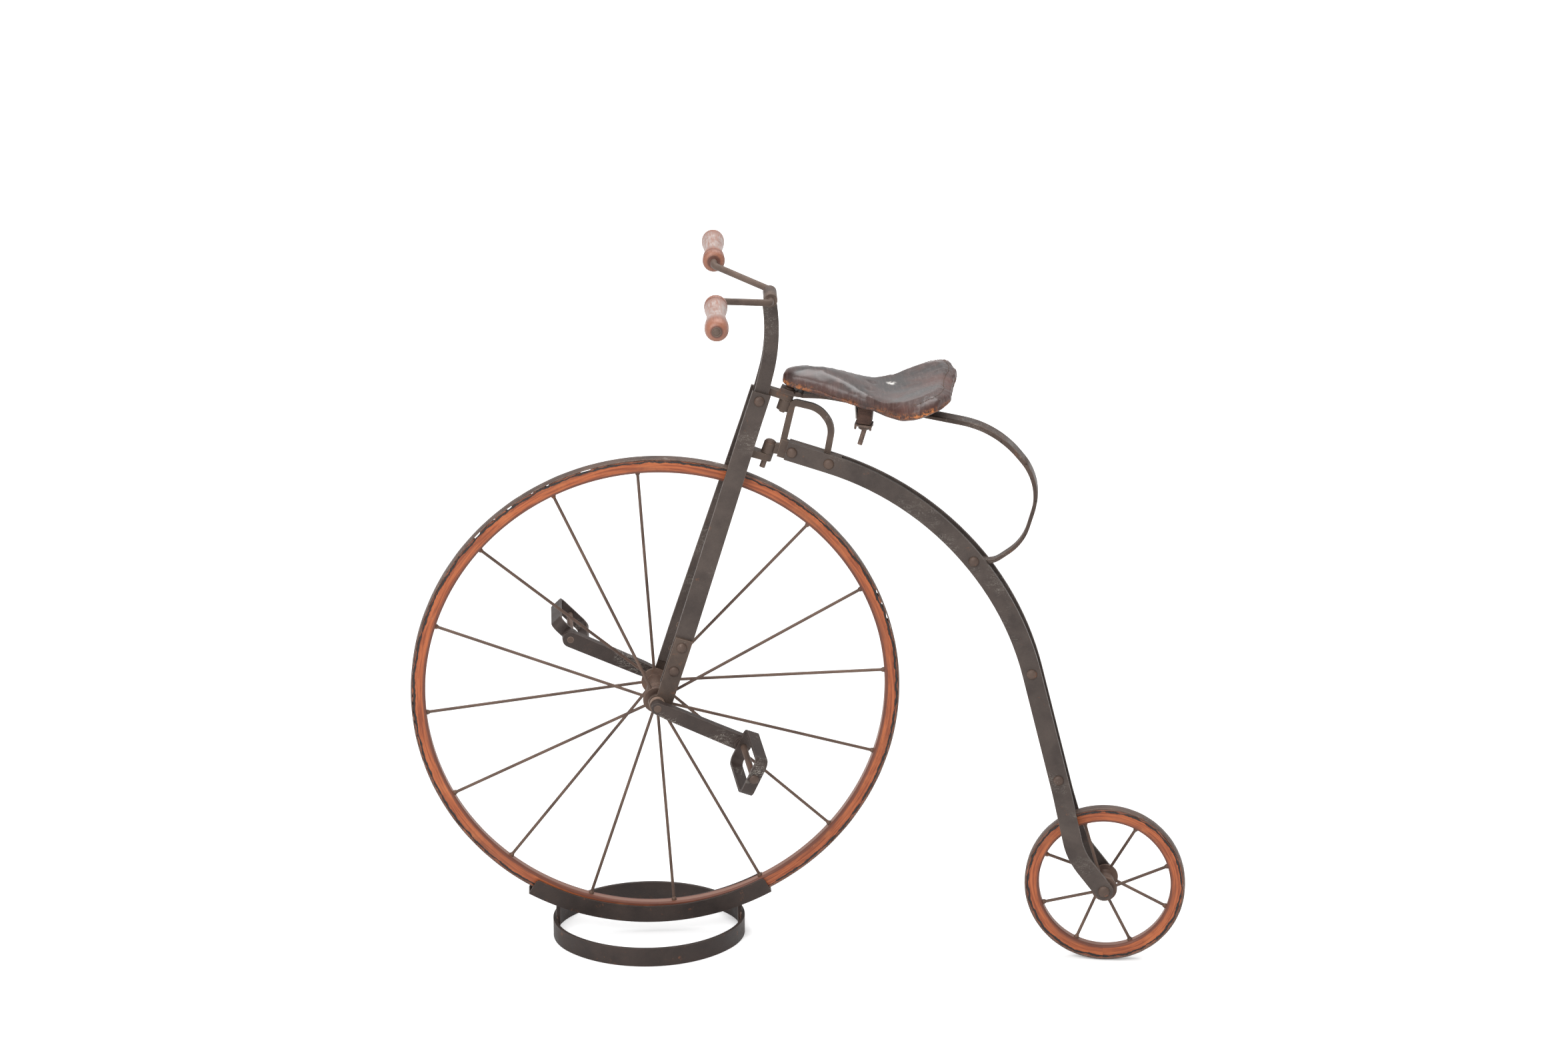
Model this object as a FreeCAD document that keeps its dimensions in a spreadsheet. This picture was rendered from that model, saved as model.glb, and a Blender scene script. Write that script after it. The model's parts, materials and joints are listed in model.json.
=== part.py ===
"""Small high-wheel bicycle of forged flat bar, held upright by a hoop stand.

The drawing frame has its origin on the floor under the front axle, +X towards the rear wheel,
+Y towards the rider's right and +Z up.  The rear frame is drawn in line with the front wheel and
then turned about the steering axis to its resting angle.  Everything is finally moved along X so
that the origin is under the middle of the whole bicycle.
"""
import FreeCAD, Part
import math
import os
import Sketcher
from FreeCAD import Placement, Rotation, Vector

doc = FreeCAD.newDocument("HighWheelBicycle")
sheet = doc.addObject("Spreadsheet::Sheet", "Sizes")

SIZES = [
    # wheels
    ("front_radius", 381.0, "outside radius of the front tyre"),
    ("rear_radius", 125.0, "outside radius of the rear tyre"),
    ("wheel_width", 18.0, "width of both rims and tyres"),
    ("tyre_thick", 4.5, "iron tyre band"),
    ("front_rim_depth", 18.0, "wooden rim of the front wheel, radially"),
    ("rear_rim_depth", 18.0, "wooden rim of the rear wheel, radially"),
    ("rim_edge", 2.5, "bevel on the rim's inner corners"),
    ("spoke_radius", 2.4, "wire spoke"),
    ("socket_depth", 7.0, "how far a spoke enters its rim"),
    ("front_spoke_count", 16.0, "spokes, shared by two flanges"),
    ("rear_spoke_count", 8.0, "spokes, shared by two flanges"),
    ("front_spoke_turn", 18.2, "angle of the first front spoke from straight up"),
    ("rear_spoke_turn", -20.6, "angle of the first rear spoke from straight up"),
    # hubs and axles
    ("front_flange_radius", 21.5, ""),
    ("front_flange_place", 41.0, "middle of a front flange from the wheel's plane"),
    ("rear_flange_radius", 20.0, ""),
    ("rear_flange_place", 28.0, "middle of a rear flange from the wheel's plane"),
    ("flange_thick", 5.0, ""),
    ("flange_edge", 1.5, "bevel on a flange's rim"),
    ("barrel_radius", 11.5, "hub barrel between the flanges"),
    ("hub_collar_radius", 14.5, "ring round the middle of the barrel"),
    ("hub_collar_width", 14.0, ""),
    ("axle_radius", 8.0, "front axle"),
    ("axle_end_radius", 5.5, "front axle where it is riveted in the cranks"),
    ("rear_axle_radius", 5.0, ""),
    ("rear_axle_head", 8.0, "radius of the rear axle's riveted ends"),
    ("running_gap", 0.06, "radial clearance of a shaft that turns in its hole"),
    ("side_gap", 0.5, "end clearance beside a turning piece"),
    # stand
    ("trough_lift", 23.0, "floor to the underside of the trough"),
    ("trough_gap", 5.0, "front tyre to the bottom of the trough"),
    ("trough_side_gap", 2.5, "wheel to each trough wall"),
    ("trough_thick", 3.0, ""),
    ("trough_depth", 27.0, "height of the trough's outside, radially"),
    ("trough_offset", -6.0, "middle of the trough's bend behind the front axle"),
    ("trough_front_angle", 30.8, "trough end ahead of the middle of its bend"),
    ("trough_rear_angle", 28.5, "trough end behind the middle of its bend"),
    ("trough_corner", 6.0, "rounded upper corner at each end"),
    ("ring_length", 305.0, "hoop, outside, along the bicycle"),
    ("ring_width", 260.0, "hoop, outside, across the bicycle"),
    ("ring_height", 30.0, ""),
    ("ring_thick", 5.0, ""),
    ("ring_offset", -15.0, "middle of the hoop from the front axle"),
    ("post_width", 18.0, "upright between hoop and trough, across"),
    ("post_thick", 6.0, ""),
    ("post_lift", 3.0, "floor to the uprights' lower ends"),
    # fork
    ("rake", 17.8, "slope of the fork blades from upright"),
    ("bar_width", 29.0, "flat bar of fork and backbone"),
    ("bar_thick", 6.0, ""),
    ("fork_offset", 9.2, "blade centre line behind the axle"),
    ("fork_half_low", 46.5, "blade's inner face from the middle, at the axle"),
    ("fork_half_top", 14.0, "blade's inner face from the middle, at the crown"),
    ("fork_knee", 60.0, "radius of the bends where the blades spread"),
    ("crown_length", 131.0, "front tyre to the blades' top, along the rake"),
    ("blade_low", 34.0, "axle to the blades' bottom end, along the rake"),
    ("dropout_length", 112.0, "axle to the dropout's top end, along the rake"),
    ("dropout_width", 27.0, ""),
    ("dropout_eye", 14.0, "rounded bottom of the dropout"),
    ("dropout_rivet_one", 98.0, "axle to the dropout's rivets, along the rake"),
    ("dropout_rivet_two", 58.0, ""),
    ("bush_radius", 11.5, "bearing boss outside the dropout"),
    ("bush_length", 9.0, ""),
    ("neck_lap", 36.0, "neck bar below the blades' top end"),
    ("crown_lap", 46.0, "parallel top of the blades, measured in height"),
    ("crown_rivet_drop", 13.0, "crown rivet below the blades' top end"),
    ("neck_rise", 80.0, "blades' top to the neck's bend, in height"),
    ("neck_set_back", 20.5, "blades' top to the neck's bend, rearwards"),
    ("neck_length", 141.0, "blades' top to the neck's top, in height"),
    ("neck_top_back", 12.5, "blades' top to the neck's top, rearwards"),
    ("neck_join", 55.0, "top of the neck to where the two bars meet"),
    ("neck_bend", 270.0, "radius of the bend in the neck's middle line"),
    ("neck_width", 22.0, ""),
    # steering
    ("head_angle", 19.0, "slope of the steering axis from upright"),
    ("head_x", 11.124413, "steering axis behind the blades' top, level with the backbone's end"),
    ("rest_steer", 10.9, "rear frame turned towards the rider's left at rest"),
    ("pivot_radius", 4.5, "pivot bolts"),
    ("pivot_head_radius", 8.0, ""),
    ("pivot_tail", 13.0, "pivot bolt below its lowest eye"),
    ("eye_radius", 10.0, "eyes round the pivot bolts"),
    ("lower_eye_drop", 5.7, "lower eye's bottom below the backbone's end, in height"),
    ("upper_lug_drop", 4.6, "upper lug's top below the blades' top, in height"),
    ("eye_height", 17.0, ""),
    ("lug_thick", 11.0, ""),
    ("lug_grip", 14.0, "length of the lug's wide part between the blades"),
    ("lug_tongue", 15.0, "half width of the tongue between blades and eye"),
    # backbone
    ("backbone_x", 39.724413, "front end of the backbone behind the blades' top"),
    ("backbone_z", 93.477852, "front end of the backbone below the blades' top"),
    ("backbone_knee_x", 355.724413, "where the two straight runs would meet, behind that top"),
    ("backbone_knee_z", 183.677852, "the same, below the blades' top"),
    ("backbone_bend", 456.0, "radius of the long bend"),
    ("stay_knee_x", 661.0, "where the bar turns rearwards to the axle"),
    ("stay_knee_z", 177.0, "the same, above the floor"),
    ("stay_bend", 110.0, "radius of that turn"),
    ("backbone_half", 13.5, "bar's inner face from the middle plane, behind the spring's rivet"),
    ("backbone_half_front", 6.5, "the same at the bar's front end"),
    ("stay_half", 36.0, "bar's inner face from the middle, at the rear axle"),
    ("stay_spread_top", 143.0, "where the bars begin to spread, above the rear tyre's radius"),
    ("stay_spread_low", 65.0, "where they are parallel again, above the rear tyre's radius"),
    ("rear_axle_x", 705.7, "rear axle behind the front axle"),
    ("rivet_radius", 4.5, ""),
    ("rivet_head_radius", 7.0, ""),
    ("rivet_head", 4.0, "height of a rivet head"),
    ("spacer_radius", 8.0, "spacer on a cross rivet"),
    ("rivet_one", 339.0, "cross rivets, along the bar from its front end"),
    ("rivet_two", 540.0, ""),
    ("rivet_three", 716.0, ""),
    ("bolt_one", 9.0, "bracket bolts, along the bar from its front end"),
    ("bolt_two", 68.0, ""),
    # head bracket
    ("bracket_bar", 10.0, "square section of the bracket's loop"),
    ("bracket_arm", 16.0, "height of the arm that carries the lower eye"),
    ("bracket_reach", 75.0, "front of the loop to its back"),
    ("bracket_rise", 74.8, "middle of the backbone's end to the top of the loop"),
    ("bracket_block", 84.0, "length of the block between the backbone bars"),
    ("bracket_nose", 12.0, "block ahead of the bars' front ends"),
    ("bracket_block_height", 28.0, ""),
    # saddle and its spring
    ("spring_width", 19.0, ""),
    ("spring_thick", 5.5, ""),
    ("spring_tip", 13.0, "leaf ahead of the upper pivot"),
    ("spring_eye", 9.0, "roll of the leaf round its rivet"),
    ("saddle_front_x", 33.724413, "saddle nose behind the blades' top"),
    ("saddle_length", 262.0, ""),
    ("saddle_width", 252.0, ""),
    ("saddle_thick", 52.0, "top of the nose above the base of the sections"),
    ("saddle_base_z", 18.177852, "base of the saddle's sections below the blades' top"),
    ("saddle_roll", 5.0, "saddle tipped to the rider's left on its clamp"),
    ("clamp_x", 163.724413, "saddle clamp behind the blades' top"),
    ("clamp_length", 24.0, ""),
    ("clamp_width", 36.0, ""),
    ("clamp_drop", 29.0, "clamp below the middle of the leaf"),
    ("clamp_bolt", 28.0, "bolt below the clamp"),
    ("clamp_bolt_radius", 4.0, ""),
    ("clamp_nut_radius", 8.0, ""),
    ("clamp_nut", 7.0, "height of the nut"),
    # handlebar
    ("handlebar_turn", 2.1, "handlebar turned from square, right end rearwards"),
    ("collar_radius", 10.5, ""),
    ("collar_length", 52.0, ""),
    ("collar_rise", 147.5, "blades' top to the collar, in height"),
    ("collar_back", 14.0, "blades' top to the collar, rearwards"),
    ("rod_radius", 5.2, "handlebar rod"),
    ("rod_bend", 11.0, "radius of the rod's bends"),
    ("rod_stub", 14.0, "straight rod beside the collar"),
    ("rod_tail", 22.0, "straight rod before the grip"),
    ("grip_forward", 83.5, "grips ahead of the collar"),
    ("grip_rise", 21.0, "grips above the collar"),
    ("grip_inner", 128.0, "inner end of a grip from the middle plane"),
    ("grip_length", 150.0, ""),
    ("grip_radius", 16.5, ""),
    ("grip_waist", 13.5, ""),
    ("grip_collar", 16.0, ""),
    # cranks and pedals
    ("crank_length", 145.0, ""),
    ("crank_angle", -25.2, "left crank from level, its end behind the axle"),
    ("crank_width", 22.0, "crank behind its shoulder"),
    ("crank_shoulder", 22.0, "axle to the crank's full width"),
    ("crank_thick", 14.0, ""),
    ("crank_eye", 9.5, "rounded end on the axle"),
    ("crank_end", 12.5, "rounded end at the pedal pin"),
    ("crank_boss_radius", 13.0, "washer between crank and pedal"),
    ("crank_boss", 4.0, ""),
    ("pin_radius", 5.0, ""),
    ("pin_head_radius", 7.0, ""),
    ("pin_head", 3.0, ""),
    ("pedal_length", 102.0, "hoop along its pin"),
    ("pedal_tall", 65.0, "hoop across its pin"),
    ("pedal_bar", 20.0, "width of the hoop's flat bar"),
    ("pedal_bar_thick", 4.0, ""),
    ("pedal_corner", 12.0, "bend in the hoop's corners"),
    ("left_pedal_turn", 23.7, "slope of the left hoop's long way from upright"),
    ("right_pedal_turn", -43.9, ""),
    ("left_pin_droop", 8.5, "bent left pedal pin, outer end down"),
    ("left_pin_lean", 6.0, "bent left pedal pin, outer end rearwards"),
    ("right_pin_droop", 0.0, ""),
    ("right_pin_lean", 0.0, ""),
]
for row, (name, number, note) in enumerate(SIZES, start=1):
    sheet.set("A%d" % row, name)
    sheet.set("B%d" % row, repr(number))
    sheet.set("C%d" % row, note)
    sheet.setAlias("B%d" % row, name)
doc.recompute()


def size(name):
    return float(sheet.get(name))


# ---------------------------------------------------------------- directions and places
RAKE = math.radians(size("rake"))
HEAD = math.radians(size("head_angle"))
fork_up = Vector(math.sin(RAKE), 0, math.cos(RAKE))
fork_back = Vector(math.cos(RAKE), 0, -math.sin(RAKE))
head_up = Vector(math.sin(HEAD), 0, math.cos(HEAD))
trough_in = size("front_radius") + size("trough_gap")
trough_out = trough_in + size("trough_thick")
front_axle = Vector(0, 0, size("trough_lift") + trough_out)


def fork_point(along, behind=0.0):
    """Point of the fork's middle plane from the axle: along the rake and behind the blade line."""
    return front_axle + fork_up * along + fork_back * (behind + size("fork_offset"))


crown_along = size("front_radius") + size("crown_length")
crown = fork_point(crown_along)


def by_crown(place_x, place_z):
    """Point of the middle plane from two named sizes: behind and below the blades' top."""
    return crown + Vector(size(place_x), 0, -size(place_z))


head_point = by_crown("head_x", "backbone_z")
half_wheel = size("wheel_width") / 2
# tools for cuts reach well past the whole bicycle
FAR = 8 * size("front_radius")

steer = Placement(Vector(), Rotation(head_up, -size("rest_steer")), head_point)


def rear_axle_point():
    """Rear axle in line with the fork, placed so that the turned rear tyre just meets the floor."""
    across = steer.Rotation.multVec(Vector(0, 1, 0))
    needed = size("rear_radius") * math.sqrt(1 - across.z ** 2) + half_wheel * abs(across.z)
    level = steer.multVec(Vector(size("rear_axle_x"), 0, 0)).z
    rise = steer.multVec(Vector(size("rear_axle_x"), 0, 1)).z - level
    return Vector(size("rear_axle_x"), 0, (needed - level) / rise)


rear_axle = rear_axle_point()
across = steer.Rotation.multVec(Vector(0, 1, 0))
rear_reach = size("rear_radius") * math.sqrt(1 - across.x ** 2) + half_wheel * abs(across.x)
rearmost = steer.multVec(rear_axle).x + rear_reach
FRONT = Placement(Vector((size("front_radius") - rearmost) / 2, 0, 0), Rotation())
REAR = FRONT * steer
PARTS = []


def keep(thing, label):
    thing.Label = label
    PARTS.append(thing)
    return thing


def piece(label, shape, place):
    """A sub-part whose shape comes from Part's own functions."""
    thing = doc.addObject("Part::Feature", "Piece_" + label)
    thing.Shape = shape
    thing.Placement = place * shape.Placement
    return keep(thing, label)


# ---------------------------------------------------------------- turned bodies
def origin_plane(body, role):
    return [item for item in body.Origin.OriginFeatures if item.Role == role][0]


def bind_point(sketch, geo, place, text_x, text_y):
    """Hold one end of a line at two sheet expressions measured from the sketch's origin."""
    for kind, text in (("DistanceX", text_x), ("DistanceY", text_y)):
        number = float(evaluate(text))
        index = sketch.addConstraint(Sketcher.Constraint(kind, -1, 1, geo, place, number))
        sketch.setExpression("Constraints[%d]" % index, sheet_text(text))


def sheet_text(text):
    words = text
    for name, _, _ in sorted(SIZES, key=lambda item: -len(item[0])):
        words = words.replace("<%s>" % name, "Sizes.%s" % name)
    return words


def evaluate(text):
    sheet.set("E1", "=" + text.replace("<", "").replace(">", ""))
    doc.recompute([sheet])
    return sheet.get("E1")


def turned(label, corners, place):
    """A body of revolution about Y; each corner is (radius, place along Y) in sheet words."""
    body = doc.addObject("PartDesign::Body", "Body_" + label)
    sketch = body.newObject("Sketcher::SketchObject", "Profile_" + label)
    sketch.AttachmentSupport = [(origin_plane(body, "XY_Plane"), "")]
    sketch.MapMode = "FlatFace"
    points = [Vector(float(evaluate(a)), float(evaluate(b)), 0) for a, b in corners]
    count = len(points)
    for index in range(count):
        sketch.addGeometry(Part.LineSegment(points[index], points[(index + 1) % count]), False)
    for index in range(count):
        sketch.addConstraint(Sketcher.Constraint("Coincident", index, 2, (index + 1) % count, 1))
    for index, (text_x, text_y) in enumerate(corners):
        bind_point(sketch, index, 1, text_x, text_y)
    spin = body.newObject("PartDesign::Revolution", "Turn_" + label)
    spin.Profile = sketch
    spin.ReferenceAxis = (sketch, ["V_Axis"])
    spin.Angle = 360.0
    body.Tip = spin
    body.Placement = place
    return keep(body, label)


# ---------------------------------------------------------------- paths of lines and arcs
class Path:
    """Straight runs joined by tangent arcs, in one plane with coordinates (a, b)."""

    def __init__(self, corners, radii):
        self.runs = []
        start = Vector(corners[0][0], corners[0][1], 0)
        for index in range(1, len(corners) - 1):
            before, corner, after = [Vector(c[0], c[1], 0) for c in corners[index - 1:index + 2]]
            arrive = (corner - before).normalize()
            leave = (after - corner).normalize()
            turn = arrive.getAngle(leave)
            radius = radii[index - 1]
            reach = radius * math.tan(turn / 2)
            first = corner - arrive * reach
            last = corner + leave * reach
            side = 1 if arrive.cross(leave).z > 0 else -1
            middle = first + Vector(-arrive.y, arrive.x, 0) * side * radius
            self.runs.append(("line", start, first))
            self.runs.append(("arc", first, last, middle, radius, side))
            start = last
        self.runs.append(("line", start, Vector(corners[-1][0], corners[-1][1], 0)))

    def length(self):
        return sum(self.run_length(run) for run in self.runs)

    @staticmethod
    def run_length(run):
        chord = run[1].distanceToPoint(run[2])
        if run[0] == "line":
            return chord
        return 2 * run[4] * math.asin(min(1.0, chord / (2 * run[4])))

    def at(self, distance):
        """Point and direction at a distance along the path."""
        for run in self.runs:
            length = self.run_length(run)
            if distance <= length or run is self.runs[-1]:
                break
            distance -= length
        if run[0] == "line":
            way = (run[2] - run[1]).normalize()
            return run[1] + way * distance, way
        _, first, _, middle, radius, side = run
        turn = Rotation(Vector(0, 0, 1), math.degrees(distance / radius) * side)
        spoke = turn.multVec(first - middle)
        return middle + spoke, Vector(-spoke.y, spoke.x, 0).normalize() * side

    def shifted(self, amount):
        """Edges of the path moved sideways to its left by an amount."""
        edges = []
        for run in self.runs:
            if run[0] == "line":
                way = (run[2] - run[1]).normalize()
                left = Vector(-way.y, way.x, 0) * amount
                edges.append((run[1] + left, None, run[2] + left))
                continue
            _, first, last, middle, radius, side = run
            scale = (radius - side * amount) / radius
            bulge = (first + last) * 0.5 - middle
            bulge = bulge.normalize() * radius * scale
            edges.append((middle + (first - middle) * scale, middle + bulge,
                          middle + (last - middle) * scale))
        return edges

    def strip(self, left, right, lift):
        """Face between two parallel edges; lift turns (a, b) into a point in space."""
        forward = self.shifted(left)
        backward = [(end, mid, start) for start, mid, end in reversed(self.shifted(-right))]
        edges = []
        loop = forward + [(forward[-1][2], None, backward[0][0])]
        loop += backward + [(backward[-1][2], None, forward[0][0])]
        for start, mid, end in loop:
            if start.distanceToPoint(end) < 1e-6:
                continue
            if mid is None:
                edges.append(Part.LineSegment(lift(start), lift(end)).toShape())
            else:
                edges.append(Part.Arc(lift(start), lift(mid), lift(end)).toShape())
        return Part.Face(Part.Wire(edges))


def eased(corners, shares):
    """Path whose bends take up given shares of the shorter leg beside each corner."""
    radii = []
    for index, share in enumerate(shares, start=1):
        before, corner, after = [Vector(c[0], c[1], 0) for c in corners[index - 1:index + 2]]
        leg = min((corner - before).Length, (after - corner).Length)
        turn = (corner - before).getAngle(after - corner)
        radii.append(share * leg / math.tan(turn / 2))
    return Path(corners, radii)


def side_view(point):
    return Vector(point.x, 0, point.y)


def front_view(point):
    return Vector(0, point.x, point.y)


def slab(face, direction, amount):
    """A face pushed both ways from its plane, by half the amount each way."""
    solid = face.extrude(direction * amount)
    solid.translate(direction * (-amount / 2))
    return solid


def through(point, radius):
    """Round tool across the bicycle at a point."""
    return rod(point - Vector(0, FAR, 0), point + Vector(0, FAR, 0), radius)


def rod(start, end, radius):
    way = end - start
    return Part.makeCylinder(radius, way.Length, start, way)


def mirrored(shape):
    return shape.mirror(Vector(), Vector(0, 1, 0))


def same(shape):
    return shape


SIDES = (("left", -1, mirrored), ("right", 1, same))


def spun(profile):
    """Body of revolution about Y from corners of radius and place along Y."""
    points = [Vector(r, y, 0) for r, y in profile]
    face = Part.Face(Part.makePolygon(points + [points[0]]))
    return face.revolve(Vector(), Vector(0, 1, 0), 360)


# ---------------------------------------------------------------- bolts and rivets
def bolt_shape(low, top, radius, head_radius, head_height):
    """Round bolt with a bevelled head above its top point."""
    way = (top - low).normalize()
    base = Part.makeCylinder(head_radius, head_height / 2, top, way)
    cap = Part.makeCone(head_radius, head_radius / 2, head_height / 2, top + way * (head_height / 2), way)
    return rod(low, top, radius).fuse([base, cap]).removeSplitter()


def pin_through(point, out, radius, head_radius, head_height):
    """Rivet across the bicycle with a head on each side, a distance out from the middle plane."""
    right = bolt_shape(point, point + Vector(0, out, 0), radius, head_radius, head_height)
    left = bolt_shape(point, point - Vector(0, out, 0), radius, head_radius, head_height)
    return right.fuse(left)


def rivet_across(point, out):
    return pin_through(point, out, size("rivet_radius"), size("rivet_head_radius"), size("rivet_head"))


# ---------------------------------------------------------------- wheels
LACING = {
    # degrees by which each hand-set spoke leads its even place
    "front": (0.9, 0.8, 0.2, 0.2, -0.3, -0.2, -0.1, 0.3, -0.9, -0.4, -0.5, -0.1, 0.4, 0.9, 1.3, 0.4),
    "rear": (1.6, 2.8, 2.8, -4.4, -3.5, 0.1, -0.3, 0.9),
}


def spoke_rods(name, rim_inside):
    """Spokes about the Y axis, shared by turns between the two flanges."""
    count = int(size(name + "_spoke_count"))
    flange_radius = size(name + "_flange_radius")
    flange_place = size(name + "_flange_place")
    lacing = LACING[name]
    rods = []
    for index in range(count):
        side = -1 if index % 2 == 0 else 1
        even = size(name + "_spoke_turn") + 360.0 * index / count
        angle = math.radians(even + lacing[index % len(lacing)])
        out = Vector(math.sin(angle), 0, math.cos(angle))
        start = out * (flange_radius * 0.78) + Vector(0, side * flange_place, 0)
        meet = out * rim_inside
        way = (meet - start).normalize()
        end = meet + way * size("socket_depth")
        rods.append(rod(start, end, size("spoke_radius")))
    return rods


def make_wheel(name, axle, place, bore):
    radius = "<%s_radius>" % name
    depth = "<%s_rim_depth>" % name
    local = place * Placement(axle, Rotation())
    tyre_inside = "%s - <tyre_thick>" % radius
    half = "<wheel_width> / 2"
    turned(name + "_tyre", [
        (tyre_inside, "-(%s)" % half), (radius, "-(%s)" % half),
        (radius, half), (tyre_inside, half)], local)
    outside = size(name + "_radius") - size("tyre_thick")
    inside = outside - size(name + "_rim_depth")
    edge = size("rim_edge")
    profile = [(outside, half_wheel), (inside + edge, half_wheel), (inside, half_wheel - edge)]
    rim = spun(profile + [(r, -y) for r, y in reversed(profile)])
    spokes = spoke_rods(name, inside)
    rim = rim.cut(spokes)
    piece(name + "_rim", rim, local)
    hub = hub_shape(name, bore)
    piece(name + "_hub", hub.fuse(spokes).removeSplitter(), local)


def hub_shape(name, bore):
    """Spool: barrel with a ring at its middle and a flange at each end."""
    flange = size(name + "_flange_radius")
    place = size(name + "_flange_place")
    half = size("flange_thick") / 2
    barrel = size("barrel_radius")
    ring = size("hub_collar_radius")
    ring_half = size("hub_collar_width") / 2
    edge = size("flange_edge")
    profile = [(bore, place + half), (flange - edge, place + half), (flange, place + half - edge),
               (flange, place - half), (barrel + edge, place - half - edge),
               (barrel, place - half - 4 * edge), (barrel, ring_half + edge), (ring, ring_half - edge)]
    return spun(profile + [(r, -y) for r, y in reversed(profile)])


front_bore = size("axle_radius")
rear_bore = size("rear_axle_radius") + size("running_gap")
make_wheel("front", front_axle, FRONT, front_bore)
make_wheel("rear", rear_axle, REAR, rear_bore)

# ---------------------------------------------------------------- front axle and fork
thick = size("bar_thick")
dropout_in = size("fork_half_low") + thick
dropout_out = dropout_in + thick
bush_out = dropout_out + size("bush_length")
crank_in = bush_out + size("side_gap")
crank_out = crank_in + size("crank_thick")
CRANK_IN = "(<fork_half_low> + 2 * <bar_thick> + <bush_length> + <side_gap>)"
CRANK_OUT = "(%s + <crank_thick>)" % CRANK_IN

turned("front_axle", [("0", "-" + CRANK_OUT), ("<axle_end_radius>", "-" + CRANK_OUT),
                      ("<axle_end_radius>", "-" + CRANK_IN), ("<axle_radius>", "-" + CRANK_IN),
                      ("<axle_radius>", CRANK_IN), ("<axle_end_radius>", CRANK_IN),
                      ("<axle_end_radius>", CRANK_OUT), ("0", CRANK_OUT)],
       FRONT * Placement(front_axle, Rotation()))


crown_rivet_point = fork_point(crown_along - size("crown_rivet_drop"))
crown_inside = size("fork_half_top") - thick


def blade_shape():
    """Right fork blade: straight in side view, splayed in front view, parallel at its bottom."""
    low = fork_point(size("blade_low"))
    side = Path([(low.x, low.z), (crown.x, crown.z)], [])
    half = size("bar_width") / 2
    flat = slab(side.strip(half, half, side_view), Vector(0, 1, 0), FAR)
    knee = fork_point(size("dropout_length")).z
    front = Path([(size("fork_half_low"), 0), (size("fork_half_low"), knee),
                  (size("fork_half_top"), crown.z - size("crown_lap")),
                  (size("fork_half_top"), crown.z + FAR)], [size("fork_knee")] * 2)
    spread = slab(front.strip(0, thick, front_view), Vector(1, 0, 0), FAR)
    return flat.common(spread).cut([through(crown_rivet_point, size("rivet_radius"))] + dropout_holes())


DROPOUT_RIVETS = ("dropout_rivet_one", "dropout_rivet_two")


def dropout_holes():
    return [through(fork_point(size(name)), size("rivet_radius")) for name in DROPOUT_RIVETS]


def dropout_rivets():
    """The two rivets that hold the right dropout on its blade."""
    inner = Vector(0, size("fork_half_low"), 0)
    outer = Vector(0, dropout_out, 0)
    return [bolt_shape(fork_point(size(name)) + inner, fork_point(size(name)) + outer,
                       size("rivet_radius"), size("rivet_head_radius"), size("rivet_head"))
            for name in DROPOUT_RIVETS]


def dropout_shape():
    """Right dropout: flat plate outside the blade, with an eye and a bearing boss at the axle."""
    axis = Vector(0, 1, 0)
    face = front_axle + axis * dropout_in
    eye = Part.makeCylinder(size("dropout_eye"), thick, face, axis)
    low = fork_point(0)
    top = fork_point(size("dropout_length"))
    half = size("dropout_width") / 2
    plate = Path([(low.x, low.z), (top.x, top.z)], []).strip(half, half, side_view)
    plate = plate.extrude(axis * thick)
    plate.translate(axis * dropout_in)
    gap = size("side_gap")
    boss = Part.makeCylinder(size("bush_radius"), size("bush_length") + 2 * thick - gap,
                             face - axis * (thick - gap), axis)
    bore = through(front_axle, front_bore + size("running_gap"))
    return plate.fuse([eye, boss] + dropout_rivets()).cut(bore).removeSplitter()


collar = crown + Vector(size("collar_back"), 0, size("collar_rise"))
bar_turn = Placement(Vector(), Rotation(Vector(0, 0, 1), -size("handlebar_turn")), collar)
COLLAR = FRONT * bar_turn


def neck_shape():
    """Right neck bar: leaves the crown along the rake, bends upright and meets its twin on top."""
    low = fork_point(crown_along - size("neck_lap"))
    bend = crown + Vector(size("neck_set_back"), 0, size("neck_rise"))
    top = crown + Vector(size("neck_top_back"), 0, size("neck_length"))
    side = Path([(low.x, low.z), (crown.x, crown.z), (bend.x, bend.z), (top.x, top.z)],
                [size("neck_bend"), size("neck_bend")])
    half = size("neck_width") / 2
    flat = slab(side.strip(half, half, side_view), Vector(0, 1, 0), FAR)
    front = Path([(crown_inside, 0), (crown_inside, crown.z), (0.0, top.z - size("neck_join")),
                  (0.0, top.z + FAR)], [size("fork_knee") / 2] * 2)
    bar = flat.common(slab(front.strip(0, thick, front_view), Vector(1, 0, 0), FAR))
    return bar.cut(through(crown_rivet_point, size("rivet_radius"))).removeSplitter()


def collar_seat():
    """Round tool for the hollow in the neck bars' tops where the collar lies."""
    seat = Part.makeCylinder(size("collar_radius"), size("collar_length"),
                             Vector(0, -size("collar_length") / 2, 0), Vector(0, 1, 0))
    seat.Placement = bar_turn * Placement(collar, Rotation())
    return seat


blade = blade_shape()
neck_right = neck_shape()
dropout = dropout_shape()
for side, sign, flip in SIDES:
    piece("fork_blade_" + side, flip(blade), FRONT)
    piece("dropout_" + side, flip(dropout), FRONT)
    piece("neck_bar_" + side, flip(neck_right).cut(collar_seat()), FRONT)


piece("crown_rivet", rivet_across(crown_rivet_point, size("fork_half_top") + thick).removeSplitter(), FRONT)

# ---------------------------------------------------------------- steering lugs and pivots
pivot_hole = size("pivot_radius") + size("running_gap")


def on_head(height):
    """Point of the steering axis at a height above the floor."""
    return head_point + head_up * ((height - head_point.z) / head_up.z)


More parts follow.
